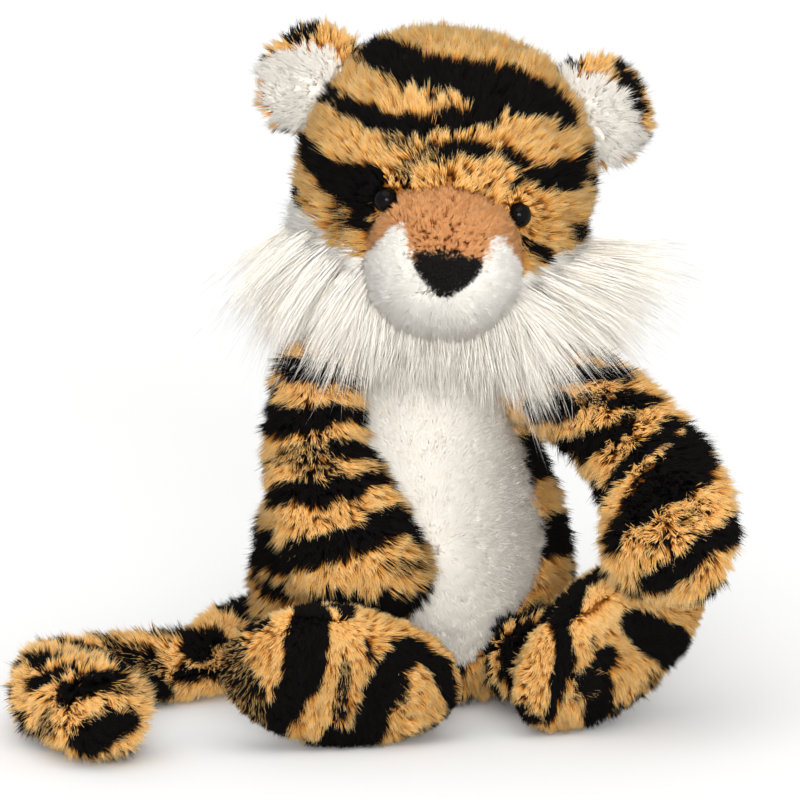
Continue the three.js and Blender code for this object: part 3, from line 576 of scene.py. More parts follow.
def plain(name, base, scale, roughness):
    """A slightly mottled and uneven finish."""
    made, nt, shader = material(name, roughness)
    mottle = grain(nt, scale, Detail=4)
    stops = [(0.3, tuple(c * 0.82 for c in base)), (0.7, base)]
    nt.links.new(ramp(nt, stops, mottle), shader.inputs["Base Color"])
    bump = add(nt, "ShaderNodeBump", {"Strength": 0.4, "Distance": 0.0006, "Height": mottle})
    nt.links.new(bump.outputs[0], shader.inputs["Normal"])
    return made


# Each finish with the slot of the record that it fills
FUR = (striped_fur(), "tiger_fur")
WHITE_FUR = (plain_fur("white_plush", WHITE, (0.95, 0.93, 0.89)), "white_plush")
CREAM_FUR = (plain_fur("cream_plush", CREAM, (0.95, 0.93, 0.89)), "white_plush")
LINING_FUR = (plain_fur("lining_plush", LINING, (0.93, 0.91, 0.87)), "white_plush")
LONG_FUR = (plain_fur("long_white_fur", WHITE, (0.88, 0.84, 0.77)), "long_white_fur")
TAN_FUR = (plain_fur("tan_plush", TAN, (0.72, 0.66, 0.62)), "tan_plush")
NOSE = (velour(), "nose_velour")
EYE = (plastic(), "eye_plastic")


def dress(made, body, finish):
    made.data.materials.append(finish[0])
    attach(made, body)


# Stripes
FAR = 99.0


def noise(p, size, seed):
    """Smooth noise of a point, from -1 to 1, with waves about size across."""
    pick = np.random.default_rng(seed)
    total = np.zeros(len(p))
    for _ in range(6):
        way = unit(pick.normal(size=3)) * 2 * math.pi / (size * pick.uniform(0.7, 1.5))
        total += np.sin(p @ way + pick.uniform(0, 2 * math.pi))
    return total / 3.2


def stroke_gap(p, strokes):
    """How far each point lies outside the nearest stroke, and how dark that stroke is."""
    gap = np.full(len(p), FAR)
    dark = np.ones(len(p))
    for stroke in strokes:
        depth, line = stroke if isinstance(stroke, tuple) else (1, stroke)
        line = np.array(line, float).reshape(-1, 4)
        for a, b in zip(line[:-1], line[1:]):
            run = b[:3] - a[:3]
            t = np.clip(((p - a[:3]) @ run) / (run @ run + 1e-9), 0, 1)
            away = np.linalg.norm(p - a[:3] - t[:, None] * run, axis=1)
            away -= a[3] + t * (b[3] - a[3])
            nearer = away < gap
            gap[nearer] = away[nearer]
            dark[nearer] = depth
    return gap, dark


# Places across the colour map, and how far the fur of each part spreads its strokes
BLACK_HAIR, BRINDLE, GOLD_HAIR = 0.01, 0.42, 0.84
SWELL = {"head": 0.5, "arm": 1.7, "leg": 0.8, "tail": 2.0, "torso": 0.8, "ear": 0.8}


def pigment(p, gap, dark, part):
    """The place across the colour map of a hair seen at p: low is black, high is gold."""
    edge = gap - SWELL[part] + 1.1 * noise(p, 9.0, 5) + rng.normal(0, 0.35, len(p))
    inside = edge < 0
    u = np.full(len(p), GOLD_HAIR)
    u[inside] = np.where(rng.random(inside.sum()) < dark[inside], BLACK_HAIR, BRINDLE)
    fringe = (np.abs(edge) < 0.6) & (rng.random(len(p)) < 0.4)
    u[fringe] = BRINDLE
    return u


# Fur
Roots = namedtuple("Roots", "skin root normal along middle")


def scatter(form, density, depth):
    """Roots spread evenly over a form: place on its surface, sunk root, normal, run and middle."""
    p = form.places
    q = np.roll(p, -1, 1)
    area = np.linalg.norm(np.cross(q[1:] - p[:-1], p[1:] - q[:-1]), axis=-1) / 2
    count = int(area.sum() * density)
    flat = rng.choice(area.size, count, p=area.ravel() / area.sum())
    i, j = np.unravel_index(flat, area.shape)
    s, t = rng.random((2, count, 1))
    k = (j + 1) % p.shape[1]

    def at(values):
        low = values[i, j] * (1 - t) + values[i, k] * t
        high = values[i + 1, j] * (1 - t) + values[i + 1, k] * t
        return low * (1 - s) + high * s

    place = at(p)
    normal = unit(at(form.normals))
    middle = form.middles[i] * (1 - s) + form.middles[i + 1] * s
    return Roots(place, place - normal * depth, normal, unit(at(form.along)), middle)


def chosen(roots, keep):
    return Roots(*(v[keep] for v in roots))


def laid_flat(normal, way):
    flat = way - normal * (way * normal).sum(1, keepdims=True)
    return unit(flat + 1e-6)


def combed(roots, way, stray=0.0, size=1.0, seed=0):
    """way with smooth strays of about size across, laid flat on the surface at each root."""
    if stray:
        way = way + stray * noise(roots.skin, size, seed)[:, None]
    return laid_flat(roots.normal, way)


def tufts(roots, comb, pile, lean, per, reach, pull, spread, rough=1.0):
    """Hairs in tufts: root and tip of each, and the index of its tuft."""
    n, root = roots.normal, roots.root
    count = len(root)
    aside = np.cross(n, comb)
    swing = spread * (noise(root, 13, 31) + rng.normal(0, 0.6, count))[:, None]
    way = comb * np.cos(swing) + aside * np.sin(swing)
    tilt = np.radians(lean + rough * (9 * noise(root, 10, 32) + rng.normal(0, 7, count)))
    pile = np.broadcast_to(pile, count) * (1 + rough * rng.normal(0, 0.13, count))
    core = root + (n * np.cos(tilt)[:, None] + way * np.sin(tilt)[:, None]) * pile[:, None]
    drawn = pull * rng.uniform(0.4, 1.3, count)
    tuft = np.repeat(np.arange(count), per)
    total = count * per
    out = n[tuft]
    small = rng.normal(0, 0.2, (total, 1))
    own = unit(way[tuft] + np.cross(out, way[tuft]) * small)
    angle = rng.uniform(0, 2 * math.pi, (total, 1))
    far = reach * np.sqrt(rng.random((total, 1)))
    start = root[tuft] + (comb[tuft] * np.cos(angle) + aside[tuft] * np.sin(angle)) * far
    long = (pile[tuft] * (1 + rng.normal(0, 0.14, total)))[:, None]
    lift = (tilt[tuft] + np.radians(rng.normal(0, 8, total)))[:, None]
    tip = start + (out * np.cos(lift) + own * np.sin(lift)) * long
    tip += (core[tuft] - tip) * drawn[tuft, None]
    return np.stack([start, tip], 1), tuft


MOST_TRIANGLES = 190000
MAP_LOW, MAP_HIGH = 0.002, 0.998
# The lowest places of hair, cloth and roots above the floor
FLOOR_HAIR, FLOOR_CLOTH, FLOOR_ROOT = 0.3, 0.6, 1.0


def hair_mesh(name, body, path, width, u, v, finish):
    """Hairs as closed three-sided spikes along paths of points, in pieces of a size that exports."""
    made = []
    count, steps = path.shape[:2]
    most = MOST_TRIANGLES // (6 * steps - 8)
    width = np.asarray(width, float)
    k = np.arange(3)
    third, nxt = k * 2 * math.pi / 3, (k + 1) % 3
    each = 3 * steps - 2
    faces = []
    for a in range(0, each - 4, 3):
        faces.append(np.stack([a + k, a + nxt, a + 3 + nxt], -1))
        faces.append(np.stack([a + k, a + 3 + nxt, a + 3 + k], -1))
    faces.append(np.stack([each - 4 + k, each - 4 + nxt, np.full(3, each - 1)], -1))
    faces.append(np.array([[2, 1, 0]]))
    faces = np.concatenate(faces)
    for begin in range(0, count, most):
        p = path[begin : begin + most]
        n = len(p)
        run = unit(p[:, 1:] - p[:, :-1])
        side = unit(np.cross(run, unit(rng.normal(size=(n, 1, 3)))))
        other = np.cross(run, side)
        ring = side[:, :, None] * np.cos(third)[:, None] + other[:, :, None] * np.sin(third)[:, None]
        rings = p[:, :-1, None] + ring * (width[:-1] / 2)[None, :, None, None]
        verts = np.concatenate([rings.reshape(n, -1, 3), p[:, -1:]], 1).reshape(-1, 3)
        all_faces = (faces[None] + (np.arange(n) * each)[:, None, None]).reshape(-1, 3)
        uu = np.repeat(u[begin : begin + most, None], each, 1)
        uu[:, : each - 1] += np.tile([0.0, 0.006, -0.006], steps - 1)
        vv = np.concatenate([np.repeat(v[:-1], 3), v[-1:]])[None]
        vv = vv * np.ones((n, 1)) + rng.uniform(-0.02, 0.02, (n, 1))
        uv = np.clip(np.stack([uu, vv], -1), MAP_LOW, MAP_HIGH).reshape(-1, 2)
        made.append(mesh_of("%s_%d" % (name, begin // most + 1), verts, [all_faces], uv))
        dress(made[-1], body, finish)
    return made


# A hair's place up the colour map and its width, at root and tip, and the cloth's place on the map. The
# low places, at the roots and on the cloth, carry painted shade.
SHADE = np.array([0.03, 0.97])
WIDTH = (0.52, 0.0)
CLOTH_SHADE = 0.2
CLOTH_TONE = 0.07


def cloth(name, body, key, finish, fill, *stands_for, other=None, zone=None):
    """The cloth under the fur, toned as that fur, with another finish inside a zone."""
    form = skins[key]
    verts, quads, ends = form.mesh()
    inner = np.repeat(form.middles[1:-1], form.places.shape[1], 0)
    middles = np.vstack([form.middles[:1], inner, form.middles[-1:]])
    tone = paint[key](verts, middles) + CLOTH_TONE
    uv = np.stack([np.clip(tone, MAP_LOW, MAP_HIGH), np.full(len(verts), CLOTH_SHADE)], -1)
    made = mesh_of(name, verts, [quads, ends], uv)
    dress(made, body, finish)
    if zone:
        made.data.materials.append(other[0])
        centres = np.empty(len(made.data.polygons) * 3, np.float32)
        made.data.polygons.foreach_get("center", centres)
        index = zone(centres.reshape(-1, 3) / MM).astype(np.int32)
        made.data.polygons.foreach_set("material_index", index)
    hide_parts(*stands_for)


def fur(name, body, roots, comb, u, finish, pile=9.0, lean=48, per=12, reach=0.95, pull=0.5,
        width=WIDTH, spread=0.35, rough=1.0, span=0.15):
    """Tufted fur over roots: hairs pile long that lean so many degrees from upright, so many per
    tuft, within reach of its root and drawn by pull to its tip. u gives each hair its place
    across the colour map, and span says how far the tone of its tuft moves it."""
    path, tuft = tufts(roots, comb, pile, lean, per, reach, pull, spread, rough)
    path[..., 2] = np.maximum(path[..., 2], FLOOR_HAIR)
    out = roots.normal[tuft]
    run = path[:, 1] - path[:, 0]
    run -= out * (run * out).sum(1, keepdims=True)
    shown = roots.skin[tuft] + (path[:, 0] - roots.root[tuft]) + run * 0.72
    tone = 0.45 * rng.random(len(roots.root))[tuft] + 0.55 * rng.random(len(tuft))
    place = u(shown, roots.middle[tuft]) + span * tone
    return hair_mesh(name, body, path, width, place, SHADE, finish)


def clear_of(roots, keys, margin=-1.0):
    keep = np.ones(len(roots.root), bool)
    for key in keys:
        keep &= depth_in(trees[key], roots.skin) < margin
    return chosen(roots, keep)


def by_strokes(key, fold=lambda p, middle: p):
    def u(p, middle):
        gap, dark = stroke_gap(fold(p, middle), STRIPES[key])
        return pigment(p, gap, dark, key.split("_")[0])

    return u


def fold_back(p, middle):
    """Puts a point behind a limb's middle on its front, where the strokes are drawn."""
    q = p.copy()
    q[:, 1] = middle[:, 1] - np.abs(p[:, 1] - middle[:, 1])
    return q


def plain_u(p, middle):
    return np.zeros(len(p))


def even_u(p, middle):
    return np.full(len(p), 0.5 - CLOTH_TONE)


# Roots on a square millimetre, and how deep the cloth lies under the forms
DENSITY = 0.36
DEPTH = 3.0
MUZZLE_DEPTH = 2.0
BELLY_RAISED = 1.2
DRAWN_IN = {"foot": 0.9, "ear": 0.86}
UP = np.array([0, 0, 1.0])
DOWN = np.array([0, 0, -1.0])

# Forms, at the outside of the cloth and pressed pile
girth = [(s, w * TORSO_HALF[0], d * TORSO_HALF[1]) for s, w, d in TORSO_STATIONS]
torso_turn = turned("Z", TORSO_TURN)
forms = {
    "torso": stuffed(
        [(0, 0, SEAT_BULGE - 0.5), (0, 0, NECK[2] / 2), (3, 0, NECK[2])],
        girth + [(1, NECK_RADIUS, NECK_RADIUS)],
        (SEAT_BULGE, NECK_RADIUS), np.array([0, -1.0, 0]), sides=96,
    ).moved(torso_turn, np.zeros(3)),
    "head": rounded(HEAD_HALF, HEAD_CENTRE, HEAD_ROUND, rings=64).moved(HEAD_FRAME, NECK),
    "muzzle": rounded([MUZZLE_HALF] * 3, MUZZLE_CENTRE, 2.1, rings=64).moved(HEAD_FRAME, NECK),
    "tail": stuffed(
        np.array(TAIL_ROUTE) * TAIL_LENGTH,
        [(s, g * TAIL_RADIUS, g * TAIL_RADIUS) for s, g in TAIL_STATIONS],
        (TAIL_RADIUS, 1.5 * TAIL_RADIUS), UP, sides=40,
    ).moved(np.eye(3), TAIL_PLACE),
}
for side, k in SIDES.items():
    girth = [(0, ARM_ROOT, ARM_ROOT)]
    girth += [(s, w * ARM_HALF[0], t * ARM_HALF[1]) for s, w, t in ARM_STATIONS]
    route = np.array(ARM_ROUTE[side]) * ARM_LENGTH
    arm = stuffed(route, girth, (ARM_ROOT, ARM_HALF[1]), np.array([0, -0.3, 1.0]))
    forms["arm_" + side] = arm.moved(np.eye(3), SHOULDER[side])
    leg = leg_frame(side)
    ankle = -LEG_LENGTH + FOOT_BACK / 2
    forms["tube_" + side] = stuffed(
        [(0, 0, 0), (0, ankle / 2, 0), (0, ankle, 0)],
        [(0, LEG_RADIUS, LEG_RADIUS), (1, LEG_RADIUS, LEG_RADIUS)],
        (LEG_RADIUS, LEG_RADIUS), UP, sides=36,
    ).moved(*leg)
    forms["foot_" + side] = rounded(
        (FOOT_HALF[0], FOOT_BACK, FOOT_HALF[1]), np.array([k * FOOT_OFFSET, -LEG_LENGTH, FOOT_LIFT]),
        2.3, front=FOOT_FRONT, pole="y",
    ).moved(*leg)
    forms["ear_" + side] = rounded(
        EAR_HALF, np.array([0, 0, EAR_RISE]), sides=72, rings=40, pole="y"
    ).moved(*ear_frame(side))

skins = {}
for key, form in forms.items():
    kind = key.split("_")[0]
    if kind in DRAWN_IN:
        skins[key] = form.drawn_in(DRAWN_IN[kind])
    else:
        skins[key] = form.inset(MUZZLE_DEPTH if key == "muzzle" else DEPTH)
    if kind in ("torso", "tail", "foot"):
        skins[key].places[..., 2] = np.maximum(skins[key].places[..., 2], FLOOR_CLOTH)
trees = {key: tree_of(form) for key, form in skins.items()}


# Colour zones
def in_belly(p):
    q = p @ torso_turn
    share = (q[:, 2] - BELLY_LOW) / (BELLY_HIGH - BELLY_LOW)
    outline = np.array(BELLY_OUTLINE)
    half = BELLY_HALF_WIDTH * np.interp(share, outline[:, 0], outline[:, 1], left=-1, right=0.5)
    return (q[:, 1] < 0) & (np.abs(q[:, 0]) < half)


# White cheeks and the ruff lie below an edge: its height at the side of the head, and its slope
CHEEK_EDGE = (-15, 0.43)
RUFF_EDGE = (-17, 0.40)


def off_centre(p):
    return to_head(p) - HEAD_CENTRE


def below_edge(q, edge):
    height, slope = edge
    return (q[:, 2] < height - slope * (50 - np.abs(q[:, 0]))) & (q[:, 1] < 12)


def in_cheek(p):
    return below_edge(off_centre(p), CHEEK_EDGE)


LOBE_EDGE = np.array([
    (0, 47), (9, 47), (12, 50), (13.5, 55), (16, 58.5), (19, 57), (22, 53), (25, 47), (28, 40),
])


def in_lobe(p):
    q = to_head(p)
    return q[:, 2] < np.interp(np.abs(q[:, 0]), LOBE_EDGE[:, 0], LOBE_EDGE[:, 1])


# The tiger band on the front of an ear: the way it lies from straight up, outwards, in radians
EAR_BAND = {"left": -0.45, "right": -1.2}


def in_lining(side):
    """The lining of an ear reaches from its middle to the rim, and less far under the band."""
    turn, place = ear_frame(side)

    def zone(p):
        local = (p - place) @ turn
        across, upward = local[:, 0] / EAR_HALF[0], (local[:, 2] - EAR_RISE) / EAR_HALF[2]
        off_band = np.arctan2(across * SIDES[side], upward) - EAR_BAND[side]
        edge = 0.98 - 0.44 * smooth(np.cos(off_band), -0.1, 0.75)
        return (local[:, 1] < 0) & (np.hypot(across, upward) < edge)

    return zone


# Bands round the torso where no stroke is drawn: height and half width
TORSO_BANDS = ((106, 7), (84, 8), (56, 7), (24, 8))


def torso_u(p, middle):
    q = p @ torso_turn
    angle = np.arctan2(q[:, 1], q[:, 0])
    z = q[:, 2] + 4 * np.sin(2 * angle + 1) + 2.5 * np.sin(5 * angle)
    gap, _ = stroke_gap(p, STRIPES["torso"])
    for centre, half in TORSO_BANDS:
        gap = np.minimum(gap, np.abs(z - centre) - half)
    return pigment(p, gap, np.ones(len(p)), "torso")


HEAD_MIDDLE_Y = -3.3


def head_fold(p, middle):
    q = p.copy()
    q[:, 1] = HEAD_MIDDLE_Y - np.abs(p[:, 1] - HEAD_MIDDLE_Y)
    return q


def foot_fold(side):
    turn, place = leg_frame(side)

    def fold(p, middle):
        q = (p - place) @ turn
        q[:, 1] = -LEG_LENGTH - np.abs(q[:, 1] + LEG_LENGTH)
        return q @ turn.T + place

    return fold


def banded(run, every, half):
    """How far each place along a run of even bands lies outside the nearest band."""
    return np.abs(run % every - every / 2) - half


def tube_u(side):
    turn, place = leg_frame(side)

    def u(p, middle):
        q = (p - place) @ turn
        gap = banded(q[:, 1] + 2 * np.sin(q[:, 0] / 5), 17, 6)
        return pigment(p, gap, np.ones(len(p)), "leg")

    return u


# Behind this the tail isn't in the photo, and has plain bands
TAIL_HIDDEN_Y = 12


def tail_u(p, middle):
    gap, dark = stroke_gap(fold_back(p, middle), STRIPES["tail"])
    hidden = p[:, 1] > TAIL_HIDDEN_Y
    band = banded(p[:, 0] + 3 * np.sin(p[:, 2] / 6), 19, 4.5)
    return pigment(p, np.where(hidden, band, gap), np.where(hidden, 1, dark), "tail")


# The colour function of each form
paint = {"torso": torso_u, "head": by_strokes("head", head_fold), "muzzle": even_u, "tail": tail_u,
         "nose": even_u}
for side in SIDES:
    arm, leg, ear = "arm_" + side, "leg_" + side, "ear_" + side
    paint[arm], paint[ear] = by_strokes(arm, fold_back), by_strokes(ear)
    paint["tube_" + side], paint["foot_" + side] = tube_u(side), by_strokes(leg, foot_fold(side))

# Cloths
places = skins["torso"].places
raised = in_belly(places.reshape(-1, 3)).reshape(places.shape[:2])[..., None]
skins["torso"].places = places + skins["torso"].normals * raised * BELLY_RAISED
cloth("torso_cloth", "torso", "torso", FUR, 0.8, "torso_skin", "belly_panel", other=CREAM_FUR,
      zone=in_belly)
cloth("head_cloth", "head", "head", FUR, 0.9, "head_skin", other=WHITE_FUR, zone=in_cheek)
cloth("muzzle_cloth", "head", "muzzle", TAN_FUR, 0.8, "muzzle", "nose_bridge", other=WHITE_FUR,
      zone=in_lobe)
cloth("tail_cloth", "tail", "tail", FUR, 0.8, "tail_skin")
for side in SIDES:
    arm, leg, ear = "arm_" + side, "leg_" + side, "ear_" + side
    cloth("arm_cloth_" + side, arm, arm, FUR, 0.8, "arm_skin_" + side)
    cloth("leg_cloth_" + side, leg, "tube_" + side, FUR, 0.8, "leg_skin_" + side)
    cloth("foot_cloth_" + side, leg, "foot_" + side, FUR, 0.8, "sole_" + side)
    cloth("ear_cloth_" + side, ear, ear, FUR, 0.6, "ear_skin_" + side, "ear_lining_" + side,
          other=LINING_FUR, zone=in_lining(side))

# Fur of the body. It turns upward at the nape, and the fur of the belly parts at a swirl
NAPE = (101, 110)
SWIRL = np.array([10, -46, 58.0])
roots = scatter(forms["torso"], DENSITY, DEPTH)
roots = clear_of(roots, ("head", "arm_left", "arm_right", "tube_left", "tube_right", "tail"))
body = chosen(roots, ~in_belly(roots.skin) & (roots.skin[:, 2] > FLOOR_ROOT))
rise = smooth(body.skin[:, 2], *NAPE)[:, None]
comb = combed(body, DOWN * (1 - 2 * rise), 0.25, 25, 2)
fur("body_fur", "torso", body, comb, torso_u, FUR, pile=8.3)
roots = scatter(forms["torso"], DENSITY * 6, DEPTH - 0.8)
off = np.linalg.norm(roots.skin - SWIRL, axis=1)
keep = rng.random(len(off)) < 0.36 + 0.64 * smooth(off, 9, 4)
keep &= in_belly(roots.skin)
roots, off = chosen(roots, keep), off[keep]
comb = combed(roots, unit(roots.skin - SWIRL) + DOWN * 0.35)
fur("belly_fur", "torso", roots, comb, plain_u, CREAM_FUR, pile=4.4, lean=30 + 20 * smooth(off, 0, 16),
    per=20, reach=1.7, pull=0.05, width=(0.42, 0), spread=0.15, rough=0.12, span=1)

# Fur of the head. The two eyes of the toy are set a little askew: across and up
EYE_SHIFT = {"left": (1.2, -1.0), "right": (1.3, -0.4)}


def eye_seat(side):
    across, up = EYE_SHIFT[side]
    return on_head(SIDES[side] * EYE_SPACING + across, up - EYE_DROP)


# The fur of the head fans out from a place under the nose, and lies away from the eyes near them
FAN_FROM = from_head(HEAD_CENTRE + [0, -47, -28])
MUZZLE_FAN_FROM = from_head(HEAD_CENTRE + [0, -60, -30])
eyes = {side: from_head(eye_seat(side)) for side in SIDES}
roots = scatter(forms["head"], DENSITY * 1.3, DEPTH)
roots = clear_of(roots, ("torso", "muzzle", "ear_left", "ear_right"))
near = {side: np.linalg.norm(roots.skin - eye, axis=1) for side, eye in eyes.items()}
keep = np.minimum(near["left"] + 0.9, near["right"]) > EYE_RADIUS - 0.4
closest = np.minimum(near["left"], near["right"])[keep]
roots = chosen(roots, keep)
eye = np.where((near["left"] < near["right"])[keep, None], eyes["left"], eyes["right"])
by_eye = smooth(closest, 14, 5)[:, None]
way = unit(roots.skin - FAN_FROM) * (1 - by_eye) + unit(roots.skin - eye) * by_eye
cheek = in_cheek(roots.skin)
comb = combed(roots, way, 0.2, 22, 3)
pile = 7.5 * (0.5 + 0.5 * smooth(closest, 5, 13))
fur("head_fur", "head", chosen(roots, ~cheek), comb[~cheek], paint["head"], FUR, pile=pile[~cheek],
    lean=46)
fur("cheek_fur", "head", chosen(roots, cheek), comb[cheek], plain_u, WHITE_FUR, pile=11.0,
    lean=50, span=1)

# Muzzle and bridge
roots = clear_of(scatter(forms["muzzle"], 0.95, MUZZLE_DEPTH), ["head"], 1.0)
lobe = in_lobe(roots.skin)
way = unit(roots.skin - MUZZLE_FAN_FROM)
comb = combed(roots, way + 0.6 * rng.normal(size=way.shape))
low = smooth(-roots.normal[lobe, 2], -0.2, 0.9)
fur("muzzle_fur", "head", chosen(roots, lobe), comb[lobe], plain_u, WHITE_FUR, pile=3.4 + 3.0 * low,
    lean=30, per=17, reach=1.0, pull=0.1, width=(0.38, 0), spread=0.3, rough=0.2, span=1)
fur("bridge_fur", "head", chosen(roots, ~lobe), comb[~lobe], plain_u, TAN_FUR, pile=3.8, lean=36,
    reach=0.7, pull=0.4, width=(0.42, 0), spread=1.0, span=1)

# Limbs and tail. The fur of a foot parts at a whorl: its span and its height on the foot
WHORLS = {"left": (-8, 10, 17), "right": (-20, -4, 20)}
for side, k in SIDES.items():
    arm, leg, ear = "arm_" + side, "leg_" + side, "ear_" + side
    roots = clear_of(scatter(forms[arm], DENSITY, DEPTH), ("torso", "foot_left"), 1.0)
    comb = combed(roots, roots.along + 0.35 * DOWN, 0.3, 20, 4)
    fur("arm_fur_" + side, arm, roots, comb, paint[arm], FUR, pile=8.3)
    roots = scatter(forms["tube_" + side], DENSITY * 0.8, DEPTH)
    roots = clear_of(roots, ("torso", "foot_" + side), 0.0)
    roots = chosen(roots, roots.skin[:, 2] > FLOOR_ROOT)
    fur("leg_fur_" + side, leg, roots, combed(roots, roots.along), paint["tube_" + side],
        FUR)
    roots = scatter(forms["foot_" + side], DENSITY * 5, 2.2)
    turn, place = leg_frame(side)
    local = (roots.skin - place) @ turn - [k * FOOT_OFFSET, -LEG_LENGTH, FOOT_LIFT]
    rim = np.hypot(local[:, 0] / FOOT_HALF[0], local[:, 2] / FOOT_HALF[1])
    low, high, height = WHORLS[side]
    core = np.stack([np.clip(local[:, 0], low, high), local[:, 1], np.full(len(local), height)], -1)
    off = np.linalg.norm(local - core, axis=1)
    keep = rng.random(len(off)) < 0.32 + 0.68 * smooth(off, 8, 4)
    roots = chosen(roots, keep)
    comb = combed(roots, unit(local - core)[keep] @ turn.T, 0.4, 18, 6)
    fur("foot_fur_" + side, leg, roots, comb, paint["foot_" + side], FUR,
        pile=6.3 - 2.8 * smooth(rim[keep], 0.72, 1.0), lean=26 + 24 * smooth(off[keep], 2, 12))
    turn, place = ear_frame(side)
    roots = clear_of(scatter(skins[ear], DENSITY * 1.5, 1.0), ["head"], 0.5)
    lining = in_lining(side)(roots.skin)
    base = turn @ np.array([0, 2.0, -4.0]) + place
    comb = combed(roots, unit(roots.skin - base), 0.3, 16, 8)
    fur("ear_fur_" + side, ear, chosen(roots, ~lining), comb[~lining], paint[ear], FUR, pile=6.5)
    fur("ear_lining_fur_" + side, ear, chosen(roots, lining), comb[lining], plain_u, LINING_FUR,
        pile=6.5, lean=50, pull=0.35, span=1)
roots = clear_of(scatter(forms["tail"], DENSITY * 1.05, DEPTH), ["torso"], 0.0)
roots = chosen(roots, roots.skin[:, 2] > FLOOR_ROOT)
fur("tail_fur", "tail", roots, combed(roots, roots.along, 0.3, 18, 9), tail_u, FUR, pile=8.3)


# Ruff and bib: long white hair
# Width and place up the colour map along a long hair, from root to tip; the low place at the root carries
# painted shade.
LONG_WIDTH = (0.20, 0.21, 0.19, 0.14, 0)
LONG_SHADE = np.array([0.3, 0.55, 0.75, 0.9, 0.98])


def long_hair(name, stands_for, roots, length, way, droop, per, reach):
    """Long hair in pointed locks that leave along way and bend down by a share of their length."""
    steps = len(LONG_WIDTH)
    locks = len(length)
    lock = np.repeat(np.arange(locks), per)
    count = len(lock)
    out = roots.normal[lock]
    stray = rng.normal(0, 1, (count, 3))
    lead = unit(way + rng.normal(0, 0.13, way.shape))
    length = length * rng.uniform(0.5, 1.12, locks)
    far = (length[lock] * (1 + rng.normal(0, 0.12, count)))[:, None, None]
    apart = laid_flat(out, stray) * reach * np.sqrt(rng.random((count, 1)))
    start = roots.root[lock] + apart
    heading = unit(lead[lock] + 0.05 * stray)
    t = np.linspace(0, 1, steps)[None, :, None]
    path = start[:, None] + heading[:, None] * far * t
    path = path + (out * 0.26)[:, None] * np.minimum(far, 22) * (t * (1 - t) * 1.6)
    gather = rng.uniform(0.2, 1.0, locks)[lock, None, None]
    path = path - apart[:, None] * gather * t**1.5
    wave = laid_flat(lead, rng.normal(0, 1, lead.shape))[lock, None]
    path = path + wave * np.sin(t * 5 + rng.uniform(0, 6, (locks, 1, 1))[lock]) * 0.8 * t
    fall = (droop * rng.uniform(0.5, 1.5, locks))[lock, None] * far[..., 0]
    path[..., 2] -= fall * t[..., 0] ** 2
    for k in range(1, steps):
        for key in ("torso", "arm_left", "arm_right"):
            deep = depth_in(trees[key], path[:, k])
            for i in np.flatnonzero((deep > -2.5) & (deep < 12)):
                spot, normal, _, _ = trees[key].find_nearest(path[i, k].tolist())
                path[i, k] = np.array(spot + normal * rng.uniform(3.0, 6.0))
    u = 0.7 * rng.random(locks)[lock] + 0.3 * rng.random(count)
    made = hair_mesh(name, "head", path, LONG_WIDTH, u, LONG_SHADE, LONG_FUR)
    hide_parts(stands_for)


# How steeply the ruff leaves the head, in degrees below level, at its top and at its bottom
RUFF_FALL = {"left": (-6, 62), "right": (34, 78)}
RUFF_LENGTH = {"left": (44, 36), "right": (38, 36)}
roots = scatter(forms["head"], 0.26, DEPTH)
q = off_centre(roots.skin)
keep = below_edge(q, RUFF_EDGE) & (np.abs(q[:, 0]) > 18)
keep &= rng.random(len(q)) > 0.4 * smooth(-q[:, 2], 24, 40)
roots = clear_of(chosen(roots, keep), ("muzzle", "torso"), 0.5)
q = off_centre(roots.skin)
down = smooth(-q[:, 2], 12, 46)
for side, k in SIDES.items():
    half = q[:, 0] * k > 0
    first, last = RUFF_FALL[side]
    fall = np.radians(first + (last - first) * down[half])
    ahead = -0.10 - 0.25 * smooth(-q[half, 1], 0, 30) + 0.25 * smooth(q[half, 1], -8, 14)
    way = unit(np.stack([k * np.cos(fall), ahead, -np.sin(fall)], -1))
    first, last = RUFF_LENGTH[side]
    length = first + (last - first) * down[half]
    long_hair("ruff_" + side, "cheek_ruff_" + side, chosen(roots, half), length, way, 0.14, 15, 2.0)
roots = scatter(forms["head"], 0.30, DEPTH)
q = off_centre(roots.skin)
keep = (q[:, 2] < -30) & (q[:, 1] < 4) & (np.abs(q[:, 0]) < 32)
keep &= rng.random(len(q)) > 0.4 * smooth(np.abs(q[:, 0]), 14, 28)
roots = clear_of(chosen(roots, keep), ["torso"], 0.5)
q = off_centre(roots.skin)
way = unit(np.stack([q[:, 0] * 0.014, np.full(len(q), -0.22), np.full(len(q), -1.0)], -1))
length = rng.uniform(18, 30, len(q)) + 8 * smooth(np.abs(q[:, 0]), 8, 30)
long_hair("bib", "chin_ruff", roots, length, way, 0.1, 13, 1.8)

# Nose: its corners on the front of the head, how far it bulges and how thick it is
NOSE_TOP, NOSE_MIDDLE, NOSE_BOTTOM, NOSE_HALF = 49.5, 44.0, 38.5, 9.5
NOSE_CORE = np.array([0, 45.2])
NOSE_FRONT = -68.8
NOSE_BULGE = 4.2
NOSE_BACK = 9.5


